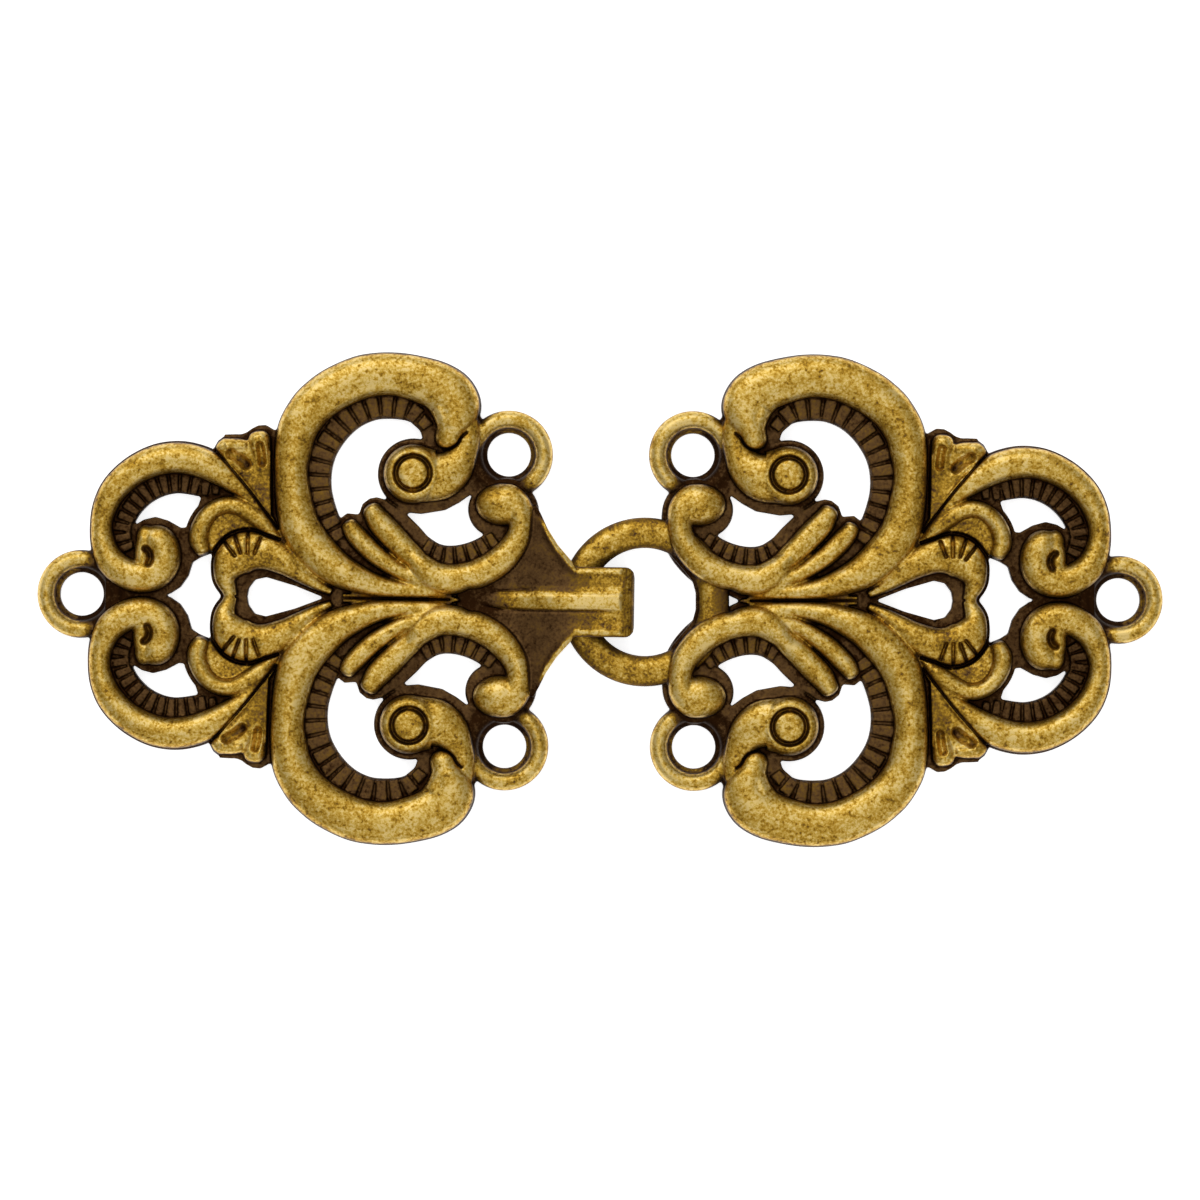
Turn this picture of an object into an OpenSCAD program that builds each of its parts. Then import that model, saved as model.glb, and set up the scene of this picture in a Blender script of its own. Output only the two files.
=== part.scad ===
// A cast filigree hook and eye clasp, fastened and lying on its back.
// Each half is one casting: a pierced plate of scrolls with three sewing loops.
// One plate carries a folded hook, and the other the ring that the hook holds.
// +X runs from the hook half to the eye half, +Z out of the face, and the backs lie on Z = 0.

/* [Plates] */
// Length of a scroll plate, without its loops, hook or ring
plate_length = 32.2; // [30:0.1:35]
// Width of a plate across its great scrolls
plate_width = 35.4; // [33:0.1:38]
// Height of the highest scroll crest above the back
relief_height = 3.2; // [3:0.05:3.6]
// Height of the low foot that edges every scroll
foot_height = 1.3; // [1.1:0.1:1.5]
// How far the foot stands out beside a scroll
foot_width = 0.3; // [0.2:0.05:0.35]
// Height of the ribbed ledges inside the scrolls
ledge_height = 1.6; // [1.5:0.05:1.8]

/* [Sewing loops] */
// Diameter of the hole in a loop
loop_hole = 3.1; // [2.7:0.1:3.3]
// Outer diameter of a loop
loop_diameter = 6.3; // [6:0.1:6.6]
// Height of a loop above the back
loop_height = 1.9; // [1.7:0.1:2.2]

/* [Hook and ring] */
// Width of the folded hook strap
strap_width = 5; // [4.2:0.1:5.4]
// Thickness of the strap
strap_thickness = 0.8; // [0.7:0.05:0.9]
// Inner diameter of the ring
ring_bore = 7.7; // [7.4:0.05:8]
// Width of the ring's wire, seen from above
wire_width = 2.2; // [1.9:0.05:2.3]
// Thickness of the ring's wire
wire_thickness = 1.3; // [1.1:0.05:1.3]
// Play above and below the wire inside the hook
wire_play = 0.12; // [0.1:0.01:0.2]
// Angle between the two halves as they hang together
hook_tilt = 0.9; // [0:0.1:1.5]

/* [Hidden] */
$fn = 48;
antique_brass = [0.62, 0.47, 0.2];
dark_brass = [0.5, 0.38, 0.17];
// The scroll tables below are in millimetres at these sizes, and scale with the plate.
grow_u = plate_length / 32.2;
grow_v = plate_width / 35.4;
top_z = 2 * strap_thickness + 2 * wire_play + wire_thickness;
wire_z = strap_thickness + wire_play;
ring_centre = [3.2, -0.06];
hook_reach = 2.45;
upper_loop = [6.68 * grow_u, 10.45 * grow_v];
end_loop = [37.12 * grow_u, 0];

// Scroll tables. A row is one station: distance out from the clasp's centre, distance above
// the centreline, and half width.
great_scroll = [
    [11.2, 11.15, 0.5], [11, 11.9, 0.9], [10.7, 12.5, 1.25], [10.4, 13.25, 1.7],
    [10.65, 14, 1.82], [11.3, 14.75, 1.8], [12.3, 15.35, 1.68], [13.6, 15.8, 1.6],
    [14.9, 16.02, 1.53], [16.2, 15.98, 1.53], [17.5, 15.7, 1.55], [19.2, 14.9, 1.55],
    [20.35, 14.05, 1.52], [21.05, 13.3, 1.48], [21.75, 12.1, 1.42], [22.05, 10.7, 1.33],
    [22.2, 8.95, 1.2], [22, 7.05, 1.3], [21.6, 5.3, 1.42], [21, 4.15, 1.45], [20.2, 3.2, 1.42],
    [19.1, 2.3, 1.3], [17.9, 1.65, 1.15], [16, 1.25, 0.85], [14.35, 1, 0.6],
    [12.45, 0.75, 0.38], [11, 0.6, 0.2]
];
great_neck = [
    [10.4, 13.6, 1], [9.9, 12.7, 1], [9.7, 11.7, 0.95], [9.85, 10.7, 0.95], [10.45, 9.65, 1.2],
    [11.5, 8.85, 1.65], [12.7, 8.8, 1.9]
];
knob_centre = [13.5, 8.95];
inner_scroll = [
    [7.3, 6.9, 1.25], [6.65, 7, 1.3], [6, 6.6, 1.05], [5.72, 5.9, 0.88], [5.72, 5.1, 0.82],
    [6, 4.3, 0.85], [6.65, 3.4, 0.93], [7.6, 2.6, 0.98], [8.8, 1.97, 1.02], [10.2, 1.65, 1.02],
    [11.6, 1.75, 0.95], [12.6, 2.3, 0.72], [13.5, 3, 0.55], [14.5, 3.95, 0.66],
    [15.4, 5, 0.8], [16.1, 5.95, 0.7], [16.5, 6.55, 0.4]
];
long_finger = [
    [12.3, 1.6, 0.5], [14.2, 2.15, 0.45], [15.65, 2.9, 0.45], [16.9, 3.8, 0.47],
    [17.75, 4.85, 0.42], [17.95, 5.5, 0.28]
];
outer_scroll = [
    [23.2, 4.8, 0.2], [24.1, 6, 0.4], [25.2, 7.25, 0.6], [26.5, 8.35, 0.85], [28, 9.25, 1.05],
    [29.3, 9.7, 1.1], [30.6, 9.8, 1.1], [32, 9.5, 1.12], [33.4, 8.7, 1.12], [34.6, 7.5, 1.08],
    [35.3, 6.2, 0.98], [35.6, 4.8, 0.9], [35.5, 3.5, 0.95], [35, 2.4, 1.05], [34, 1.6, 1.1],
    [33.2, 1.3, 1.15], [32.3, 1.35, 1.15], [31.6, 1.75, 1.15], [31.15, 2.4, 1.1],
    [31.05, 3.15, 1], [31.3, 3.85, 0.9], [31.9, 4.2, 0.75], [32.45, 3.95, 0.55]
];
crescent = [
    [23.6, 4.75, 0.25], [24.4, 5.6, 0.5], [25.4, 6.3, 0.58], [26.5, 6.55, 0.55],
    [27.4, 6.3, 0.56], [28.15, 5.7, 0.6], [28.65, 4.8, 0.62], [28.75, 3.95, 0.62],
    [28.35, 3.15, 0.42]
];
heart = [
    [19.2, 0.4, 0.2], [20.3, 0.95, 0.4], [21.4, 1.7, 0.65], [22.6, 2.5, 0.9],
    [24, 3, 1.1], [25.5, 2.95, 1.2], [26.45, 2.2, 1.05], [26.65, 1.1, 0.85], [26.4, 0, 0.45]
];
fan_lobes = [
    [23.9, 8.9, 0.3], [24.05, 10.4, 0.32], [24.4, 11.5, 0.55], [25.2, 11, 0.5],
    [26.2, 10.95, 0.42], [27.05, 10.85, 0.5], [26.6, 10, 0.36], [25.4, 8.9, 0.36]
];
great_ledge = [
    [12.15, 11.5, 0.65], [12.4, 12.4, 0.75], [13, 13.1, 0.85], [14.1, 13.65, 0.9],
    [15.3, 13.8, 0.92], [16.5, 13.65, 0.9], [17.75, 13.1, 0.9], [18.8, 12.2, 0.9],
    [19.6, 11.05, 0.88], [20.05, 10, 0.88], [20.25, 8.8, 0.88], [20.2, 7.6, 0.88],
    [19.9, 6.4, 0.88], [19.4, 5.3, 0.8], [18.9, 4.5, 0.7]
];
inner_ledge = [
    [14.4, 5.6, 0.65], [13.6, 4.7, 0.75], [12.9, 3.95, 0.75], [12, 3.4, 0.7], [11, 3.15, 0.7],
    [10, 3.25, 0.7], [8.9, 3.65, 0.65], [7.9, 4.25, 0.65], [6.9, 4.9, 0.5]
];
outer_ledge = [
    [27.6, 7.65, 0.45], [28.6, 7.75, 0.65], [29.6, 7.95, 0.7], [30.5, 8, 0.7],
    [31.6, 7.8, 0.75], [32.7, 7.2, 0.75], [33.6, 6.2, 0.7], [34.15, 5.1, 0.7],
    [34.2, 4.1, 0.7], [33.9, 3.4, 0.6]
];

// A smooth curve through a table, with n steps between two stations.
function at(t, i) = t[max(0, min(len(t) - 1, i))];
function blend(a, b, c, d, f) =
    0.5 * (2 * b + (c - a) * f + (2 * a - 5 * b + 4 * c - d) * f * f
        + (3 * b - a - 3 * c + d) * f * f * f);
function smooth(t, n) = concat(
    [for (i = [0:len(t) - 2], k = [0:n - 1])
        blend(at(t, i - 1), at(t, i), at(t, i + 1), at(t, i + 2), k / n)],
    [t[len(t) - 1]]);
function heading(s, i) =
    let (d = at(s, i + 1) - at(s, i - 1)) atan2(d[1], d[0]);
function crest(w, full, top) = foot_height + (top - foot_height) * sqrt(min(1, w / full));
// Points across a scroll, as shares of its half width and of its dome's height.
dome_shape = [[0, -0.4], [-1, -0.15], [-0.8, 0.66], [-0.3, 0.97], [0.3, 0.97], [0.8, 0.66],
    [1, -0.15]];

// The rounded body of one scroll, swept along its table. It reaches its top where its half width
// is full, and is lower where it is narrower.
module dome(s, full = 1.7, top = relief_height) {
    n = len(dome_shape);
    points = [for (i = [0:len(s) - 1])
        let (a = heading(s, i), w = s[i][2], h = crest(w, full, top) - foot_height)
            for (p = dome_shape) [
                s[i][0] - sin(a) * p[0] * w,
                s[i][1] + cos(a) * p[0] * w,
                foot_height + p[1] * (p[1] < 0 ? 1 : h)
            ]];
    walls = [for (i = [0:len(s) - 2], j = [0:n - 1])
        let (k = (j + 1) % n)
            each [[i * n + j, i * n + k, (i + 1) * n + j],
                [i * n + k, (i + 1) * n + k, (i + 1) * n + j]]];
    first = [for (j = [0:n - 1]) n - 1 - j];
    last = [for (j = [0:n - 1]) (len(s) - 1) * n + j];
    polyhedron(points, concat([first, last], walls));
}

// A flat band along a table, grown sideways by extra.
module band(s, extra) {
    for (i = [0:len(s) - 2]) {
        polygon([
            edge_point(s, i, 1, extra),
            edge_point(s, i + 1, 1, extra),
            edge_point(s, i + 1, -1, extra),
            edge_point(s, i, -1, extra)
        ]);
    }
    for (e = [s[0], s[len(s) - 1]]) {
        translate([e[0], e[1]]) circle(r = e[2] + extra, $fn = 16);
    }
}
function edge_point(s, i, side, extra) =
    let (a = heading(s, i), w = (s[i][2] + extra) * side)
        [s[i][0] - sin(a) * w, s[i][1] + cos(a) * w];

// Blocks that stand across a ledge, with grooves between them.
module ribs(table, count) {
    s = smooth(table, 6);
    for (k = [0:count - 1]) {
        i = round((k + 0.5) * (len(s) - 1) / count);
        pitch = (len(s) - 1) / count;
        reach = norm([at(s, i + 1)[0] - at(s, i - 1)[0], at(s, i + 1)[1] - at(s, i - 1)[1]]) / 2;
        translate([s[i][0], s[i][1], foot_height - 0.1])
            rotate(heading(s, i))
                translate([-reach * pitch / 2 + 0.15, -s[i][2] + 0.1, 0])
                    cube([reach * pitch - 0.3, 2 * s[i][2] + 0.05, ledge_height - foot_height + 0.1]);
    }
}

// The rolled end of the great scroll.
module knob() {
    translate([knob_centre[0], knob_centre[1], 0])
        rotate_extrude($fn = 24)
            polygon([
                [0, 0.5], [2.1, 0.5], [2.1, foot_height], [1.85, relief_height - 0.7],
                [1.4, relief_height - 0.25], [0, relief_height - 0.15]
            ]);
}

// The ring engraved round the eye of the knob.
module knob_ring() {
    translate([knob_centre[0], knob_centre[1], 0])
        rotate_extrude($fn = 20)
            polygon([
                [1.22, relief_height - 0.6], [1.45, relief_height + 0.2], [1.02, relief_height + 0.2]
            ]);
}

// The round end of the inner scroll.
module bead() {
    translate([7.5, 6.85, 0])
        rotate_extrude($fn = 18)
            polygon([
                [0, 0.5], [1.6, 0.5], [1.6, foot_height], [1.3, relief_height - 0.75],
                [0.75, relief_height - 0.25], [0, relief_height - 0.1]
            ]);
}

// Everything in the upper half of a plate that the foot layer carries.
module feet() {
    band(great_scroll, foot_width - 0.15);
    band(great_neck, foot_width - 0.05);
    translate(knob_centre) circle(r = 2.55, $fn = 24);
    band(inner_scroll, foot_width + 0.15);
    translate([7.6, 6.5]) circle(r = 1.95, $fn = 20);
    band(long_finger, foot_width + 0.1);
    band(outer_scroll, foot_width - 0.15);
    band(crescent, foot_width + 0.2);
    band(heart, foot_width);
    band(great_ledge, 0);
    band(inner_ledge, 0);
    band(outer_ledge, 0);
    // The floor under the rolled neck.
    polygon([[9.45, 7.5], [10.2, 6.95], [11.2, 6.4], [12.9, 6.1], [14.1, 6.2], [15.2, 7.3],
        [13, 10.6], [11, 11.4], [10, 10]]);
    // The leaf between the great scroll and the heart.
    polygon([[19.4, 0.3], [22, 4.2], [23.4, 5], [27, 4.4], [27.6, 3], [25.8, 0],
        [25.15, 0], [25.05, 0.6], [24.6, 1.2], [23.9, 1.4], [21.8, 0.8], [20, 0.1]]);
    // The shell behind the crescent.
    polygon([[24, 4], [24.4, 5.6], [26.5, 7.8], [28.6, 7.2], [29, 6], [28.3, 3.6], [27.6, 2.8]]);
    // The fan between the two round scrolls.
    polygon([[23.2, 4.6], [22.9, 12.1], [23.6, 12.35], [24.3, 12.45], [24.9, 12.3],
        [25.5, 11.7], [26.7, 11.65], [27.4, 11.4], [27.9, 10.6], [26, 8]]);
    // The low web behind the inner scroll and the great scroll's neck.
    polygon([[5, 8], [8.4, 13.6], [9.6, 11], [9.9, 8.6], [9.45, 7.5], [7, 7]]);
    // The strips where the upper and the lower scrolls meet.
    polygon([[9.9, -0.3], [9.9, 0.9], [19, 0.9], [19.9, 0.1], [19.9, -0.3]]);
    polygon([[31, -0.3], [31, 0.6], [35.6, 2.6], [35.6, -0.3]]);
    // The floor under the roll of the outer scroll.
    polygon([[33.8, 3.5], [33.45, 4.95], [32.7, 5.4], [31.9, 5.6], [31, 5.35], [30.1, 4.85],
        [28.8, 4.9], [28.4, 2.9], [29.2, 2.4], [29.5, 1.4], [30.05, 0.6], [30.8, 0.1],
        [34, 0.6], [34.3, 3.2]]);
    // The floor between the fingers and the great scroll.
    polygon([[14, 1.5], [14, 6.3], [15.2, 7.3], [16.6, 6.6], [17.1, 6.4], [19.1, 5.9],
        [19.6, 3.6], [17, 1.6]]);
}

module fan() {
    difference() {
        translate([0, 0, foot_height - 0.4])
            linear_extrude(1.2)
                polygon([[23.65, 5.6], [23.6, 11.4], [24.1, 11.9], [24.7, 11.75], [25.4, 11.2],
                    [26.6, 11.25], [27.3, 10.95], [27.35, 10.4], [25.5, 8.3]]);
        for (pit = [[24.4, 10.3, 85], [25.95, 9.8, 48]]) {
            translate([pit[0], pit[1], foot_height + 0.35])
                rotate(pit[2])
                    scale([0.65, 0.2, 1]) cylinder(h = 2, r = 1, $fn = 10);
        }
    }
    dome(fan_lobes, 0.7, relief_height - 0.4);
}

module quarter() {
    linear_extrude(foot_height) feet();
    dome(great_scroll, 1.4);
    difference() {
        union() {
            dome(great_neck, 1.7, relief_height - 0.15);
            knob();
        }
        knob_ring();
    }
    dome(inner_scroll, 1.1, relief_height - 0.1);
    bead();
    dome(long_finger, 0.8, relief_height - 0.3);
    dome(outer_scroll, 1.3);
    dome(crescent, 0.8, relief_height - 0.3);
    translate([0, 0, foot_height - 0.4])
        linear_extrude(0.9)
            polygon([[24.3, 4.75], [25, 5.5], [26.4, 6.1], [27.6, 5.7], [28.3, 4.8],
                [28.2, 3.6], [27.7, 3.1], [26.9, 4.3], [25.9, 4.75]]);
    difference() {
        dome(heart, 1.2, relief_height - 0.3);
        // The rays of the shell.
        for (ray = [[24.3, 4.15, 24.75, 3.1], [25.2, 4.5, 25.2, 3.1], [26.1, 4.3, 25.7, 3.05],
                [26.85, 3.8, 26.1, 2.85]]) {
            a = atan2(ray[3] - ray[1], ray[2] - ray[0]);
            translate([ray[0], ray[1], foot_height + 0.7])
                rotate(a)
                    translate([-0.3, -0.1, 0])
                        cube([norm([ray[2] - ray[0], ray[3] - ray[1]]) + 0.3, 0.2, 3]);
        }
    }
    fan();
    ribs(great_ledge, 15);
    ribs(inner_ledge, 8);
    ribs(outer_ledge, 12);
}

// One pierced plate of scrolls, facing out along +X.
module plate() {
    resize([plate_length, plate_width, relief_height]) {
        union() {
            quarter();
            mirror([0, 1, 0]) quarter();
        }
    }
}

// One sewing loop, a flat ring with a rounded top.
module loop(centre) {
    r0 = loop_hole / 2;
    r1 = loop_diameter / 2;
    m = (r1 - r0) / 2;
    translate([centre[0], centre[1], 0])
        rotate_extrude()
            polygon([
                [r0, 0], [r1 - 0.15, 0], [r1, 0.2], [r1, loop_height - 0.95],
                [r1 - 0.12, loop_height - 0.5], [r1 - 0.4, loop_height - 0.15],
                [r0 + m, loop_height], [r0 + 0.45, loop_height - 0.15],
                [r0 + 0.15, loop_height - 0.4], [r0, loop_height - 0.6]
            ]);
}

// The three bores, cut last so that nothing is left in a loop's hole.
module loop_bores() {
    for (c = [upper_loop, [upper_loop[0], -upper_loop[1]], end_loop]) {
        translate([c[0], c[1], -1]) cylinder(h = 6, d = loop_hole);
    }
}

module half_body() {
    plate();
    loop(upper_loop);
    loop([upper_loop[0], -upper_loop[1]]);
    loop(end_loop);
}

// Side view of the web that climbs from the scrolls to the top of the strap.
web_side = [
    [10.2, 0], [10.2, 1.65], [8, 1.75], [6, 2], [5, 2.3], [4.2, top_z - 0.5], [3.4, top_z - 0.2],
    [2.7, top_z - 0.05], [2, top_z], [1.2, top_z], [1.2, top_z - strap_thickness],
    [2.1, top_z - strap_thickness], [2.6, top_z - strap_thickness - 0.08], [3.4, 1.9],
    [4.2, 1.5], [5, 0.5], [5.4, 0]
];
web_plan = [
    [1.2, 2.5], [1.75, 2.5], [2.3, 3.15], [3.05, 4], [3.8, 5.15], [4.3, 6.2], [4.8, 7.6],
    [6, 7.4], [10.2, 0.9], [10.2, -0.9], [6, -7.4], [4.8, -7.6], [4.3, -6.2], [3.8, -5.15],
    [3.05, -4], [2.3, -3.15], [1.75, -2.5], [1.2, -2.5]
];

module web() {
    intersection() {
        rotate([90, 0, 0])
            linear_extrude(20, center = true) polygon(web_side);
        scale([grow_u, grow_v, 1])
            linear_extrude(6) polygon(web_plan);
    }
}

// The strap, folded down and back under itself.
module strap() {
    t = strap_thickness;
    r = 0.9;
    side = [
        [1.6, top_z], [-hook_reach + r, top_z],
        for (a = [15:15:90]) [-hook_reach + r - r * sin(a), top_z - r + r * cos(a)],
        for (a = [0:15:90]) [-hook_reach + r - r * cos(a), r - r * sin(a)],
        [2.4, 0], [2.8, 0.25], [2.7, t], [-hook_reach + t + 0.3, t],
        [-hook_reach + t, t + 0.3], [-hook_reach + t, top_z - t - 0.3],
        [-hook_reach + t + 0.3, top_z - t], [1.6, top_z - t]
    ];
    intersection() {
        rotate([90, 0, 0])
            linear_extrude(strap_width, center = true) polygon(side);
        strap_plan();
    }
}

// The strap's outline from above, with its two end corners rounded.
module strap_plan() {
    w = strap_width / 2;
    c = 0.6;
    linear_extrude(6)
        polygon([
            [4, -w], [4, w], [-hook_reach + c, w], [-hook_reach + 0.3 * c, w - 0.3 * c],
            [-hook_reach, w - c], [-hook_reach, -w + c],
            [-hook_reach + 0.3 * c, -w + 0.3 * c], [-hook_reach + c, -w]
        ]);
}

// The raised rib along the strap.
module strap_rib() {
    side = [
        [8.6, 1.5], [8.6, 1.85], [7, 2.1], [5.5, 2.45], [4.2, top_z - 0.2], [3, top_z + 0.2],
        [2, top_z + 0.3], [-1.2, top_z + 0.3], [-1.6, top_z + 0.1], [-1.6, top_z - 0.4],
        [2.5, top_z - 0.4], [4.2, 2]
    ];
    rotate([90, 0, 0])
        linear_extrude(1.3, center = true) polygon(side);
}

// The rims along both edges of the strap and the web.
module rims() {
    intersection() {
        rotate([90, 0, 0])
            linear_extrude(20, center = true)
                polygon([
                    [5, 2.3], [4.2, top_z - 0.35], [3.4, top_z - 0.02], [2.6, top_z + 0.15],
                    [1.8, top_z + 0.2], [-1.3, top_z + 0.2], [-1.5, top_z + 0.05],
                    [-1.5, top_z - 0.3], [2.6, top_z - 0.3], [4.2, 2.3], [5, 1.9]
                ]);
        for (side = [-1, 1]) {
            linear_extrude(6)
                polygon([
                    [-1.5, side * 2.35], [1.6, side * 2.35], [2.1, side * 2.75],
                    [2.95, side * 3.7], [3.75, side * 4.9], [4.5, side * 6.4],
                    [4.75, side * 6.2], [4, side * 4.7], [3.25, side * 3.5],
                    [2.4, side * 2.5], [1.7, side * 2.05], [-1.5, side * 2.05]
                ]);
        }
    }
}

module hook_half() {
    color(antique_brass)
        translate([0, -0.144, 0])
            rotate(-hook_tilt)
                mirror([1, 0, 0]) {
                    difference() {
                        union() {
                            half_body();
                            web();
                            strap();
                            strap_rib();
                            rims();
                        }
                        loop_bores();
                    }
                }
}

// The ring that the hook holds, cast in one with the eye half's plate.
module ring() {
    r0 = ring_bore / 2;
    w = wire_width;
    h = wire_thickness;
    translate([ring_centre[0], ring_centre[1], wire_z])
        rotate_extrude()
            polygon([
                [r0 + 0.25 * w, 0], [r0 + 0.75 * w, 0], [r0 + 0.95 * w, 0.25 * h],
                [r0 + w, 0.5 * h], [r0 + 0.92 * w, 0.78 * h], [r0 + 0.7 * w, 0.96 * h],
                [r0 + 0.5 * w, h], [r0 + 0.3 * w, 0.96 * h], [r0 + 0.08 * w, 0.78 * h],
                [r0, 0.5 * h], [r0 + 0.05 * w, 0.25 * h]
            ]);
}

// The floor between the ring and the inner scrolls.
module ring_floor() {
    linear_extrude(1.7)
        for (side = [-1, 1])
            polygon([
                [6.85, 0], [6.85, side * 0.6], [6.65, side * 1.35], [6.2, side * 1.95],
                [5, side * 3.35], [6.5, side * 3.2], [8.7, side * 1.3], [9, side * 0.5], [9, 0]
            ]);
}

module eye_half() {
    color(dark_brass)
        translate([0, -0.092, 0])
            rotate(0.15) {
                difference() {
                    union() {
                        half_body();
                        ring();
                        ring_floor();
                    }
                    loop_bores();
                }
            }
}

hook_half();
eye_half();
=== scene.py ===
"""The looks of a fastened hook and eye clasp: two pierced castings in antiqued brass.

Each half is modelled in millimetres in a frame of its own, where u runs outward from the clasp's
centre, v runs up across it and z stands out of the face. The finished half is then set down in
metres where the solids lie.
"""

import logging
import math
from dataclasses import dataclass
from enum import Enum

import bmesh
import bpy
import numpy as np
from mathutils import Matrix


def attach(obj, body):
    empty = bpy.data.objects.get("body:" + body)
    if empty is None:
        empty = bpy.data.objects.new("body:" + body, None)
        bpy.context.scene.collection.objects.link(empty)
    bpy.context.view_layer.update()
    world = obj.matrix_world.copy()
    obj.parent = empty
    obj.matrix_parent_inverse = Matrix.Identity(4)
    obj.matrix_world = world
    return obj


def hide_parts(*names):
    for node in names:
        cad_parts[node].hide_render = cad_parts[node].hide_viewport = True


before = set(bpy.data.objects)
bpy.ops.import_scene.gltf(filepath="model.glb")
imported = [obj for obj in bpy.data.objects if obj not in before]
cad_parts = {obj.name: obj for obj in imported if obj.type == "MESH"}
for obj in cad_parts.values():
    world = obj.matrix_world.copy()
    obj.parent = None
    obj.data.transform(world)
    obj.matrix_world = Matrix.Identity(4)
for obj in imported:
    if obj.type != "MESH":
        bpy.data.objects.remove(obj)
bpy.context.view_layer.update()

log = logging.getLogger("clasp")
MM = 0.001
# Heights above the flat back, in millimetres: the strap's face, the low floors and feet, and the
# scrolls' crests.
TOP_Z = 3.14
FOOT_HEIGHT = 1.3
RELIEF_HEIGHT = 3.2
# A stroke's section rises as this power of a round tube's: below 1 it is fuller than a tube.
SECTION_POWER = 0.44
# The step along a scroll, and the cells in which a casting is fused, in millimetres.
SWEEP_STEP = 0.16
FINE_VOXEL = 0.085

Station = tuple[float, float, float]
Point = tuple[float, float]


class Side(Enum):
    """Which of the two castings a half is."""

    HOOK = "hook"
    EYE = "eye"


def srgb(code: str) -> tuple[float, float, float, float]:
    """Turns an sRGB hex colour into the linear colour that shaders take.

    Args:
        code: six hex digits, with or without a leading hash.

    Returns:
        Linear red, green, blue and an alpha of one.
    """
    digits = code.lstrip("#")
    shares = [int(digits[i:i + 2], 16) / 255 for i in (0, 2, 4)]
    linear = [s / 12.92 if s <= 0.04045 else ((s + 0.055) / 1.055) ** 2.4 for s in shares]
    return (linear[0], linear[1], linear[2], 1.0)


def add_node(tree: bpy.types.NodeTree, kind: str, links: dict | None = None, **settings) -> bpy.types.Node:
    """Adds one node with its settings and links.

    Args:
        tree: the node tree that gets it.
        kind: the node's type name.
        links: for each input, by name or number, a socket to link or a value to set.
        settings: properties of the node, such as operation.

    Returns:
        The new node.
    """
    node = tree.nodes.new(kind)
    for name, value in settings.items():
        setattr(node, name, value)
    for key, value in (links or {}).items():
        if isinstance(value, bpy.types.NodeSocket):
            tree.links.new(value, node.inputs[key])
        else:
            node.inputs[key].default_value = value
    return node


@dataclass
class Shape:
    """Plain points and faces, in millimetres, that are still to be joined with others."""

    points: np.ndarray
    faces: list[tuple[int, ...]]

    def mirrored(self) -> "Shape":
        """The same shape on the other side of the centreline."""
        return Shape(self.points * np.array([1.0, -1.0, 1.0]), [f[::-1] for f in self.faces])


def join(shapes: list[Shape]) -> Shape:
    """Puts shapes together in one.

    Args:
        shapes: the shapes, which may run into each other.

    Returns:
        One shape with all their points and faces.
    """
    faces: list[tuple[int, ...]] = []
    start = 0
    for shape in shapes:
        faces.extend(tuple(i + start for i in f) for f in shape.faces)
        start += len(shape.points)
    return Shape(np.concatenate([s.points for s in shapes]), faces)


def placed(name: str, data: bpy.types.ID) -> bpy.types.Object:
    """Makes an object of a mesh, a lamp or a camera and links it to the scene.

    Args:
        name: the object's name.
        data: the mesh, lamp or camera.

    Returns:
        The new object, at the origin.
    """
    thing = bpy.data.objects.new(name, data)
    bpy.context.scene.collection.objects.link(thing)
    return thing


def to_object(name: str, shape: Shape) -> bpy.types.Object:
    """Makes an object of a shape and links it to the scene.

    Args:
        name: the object's name.
        shape: its points and faces.

    Returns:
        The new object, at the origin.
    """
    mesh = bpy.data.meshes.new(name)
    mesh.from_pydata(shape.points.tolist(), [], shape.faces)
    mesh.update()
    return placed(name, mesh)


def vertex_vectors(mesh: bpy.types.Mesh, name: str) -> np.ndarray:
    """Reads one vector of every vertex.

    Args:
        mesh: the mesh.
        name: which vector, co for the place or normal.

    Returns:
        A row of three values for each vertex.
    """
    values = np.zeros(len(mesh.vertices) * 3)
    mesh.vertices.foreach_get(name, values)
    return values.reshape(-1, 3)


def from_mesh(mesh: bpy.types.Mesh) -> Shape:
    """Reads a mesh back as a shape."""
    return Shape(vertex_vectors(mesh, "co"), [tuple(p.vertices) for p in mesh.polygons])


def evaluated(thing: bpy.types.Object) -> bpy.types.Mesh:
    """Turns an object with modifiers into a plain new mesh, and removes the object.

    Args:
        thing: the object, with its modifiers.

    Returns:
        The mesh that its modifiers make.
    """
    graph = bpy.context.evaluated_depsgraph_get()
    mesh = bpy.data.meshes.new_from_object(thing.evaluated_get(graph))
    old = thing.data
    bpy.data.objects.remove(thing)
    bpy.data.meshes.remove(old)
    return mesh


def largest_part(mesh: bpy.types.Mesh) -> None:
    """Keeps only the largest connected part of a mesh, and drops crumbs that thinning left.

    Args:
        mesh: the mesh, which is changed.
    """
    work = bmesh.new()
    work.from_mesh(mesh)
    parts: list[set] = []
    seen: set = set()
    for start in work.verts:
        if start in seen:
            continue
        part, todo = {start}, [start]
        while todo:
            for edge in todo.pop().link_edges:
                for vert in edge.verts:
                    if vert not in part:
                        part.add(vert)
                        todo.append(vert)
        seen |= part
        parts.append(part)
    keep = max(parts, key=len)
    bmesh.ops.delete(work, geom=[v for v in work.verts if v not in keep], context="VERTS")
    work.to_mesh(mesh)
    work.free()


def prism(outline: list[Point], low: float, high: float) -> Shape:
    """An upright block over an outline.

    Args:
        outline: corners in u and v.
        low: height of its underside.
        high: height of its top.

    Returns:
        The closed block.
    """
    n = len(outline)
    area = sum(outline[i - 1][0] * outline[i][1] - outline[i][0] * outline[i - 1][1] for i in range(n))
    ring = outline if area > 0 else outline[::-1]
    points = [(u, v, low) for u, v in ring] + [(u, v, high) for u, v in ring]
    sides = [(i, (i + 1) % n, n + (i + 1) % n, n + i) for i in range(n)]
    return Shape(np.array(points), [tuple(range(n))[::-1], tuple(range(n, 2 * n))] + sides)


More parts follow.
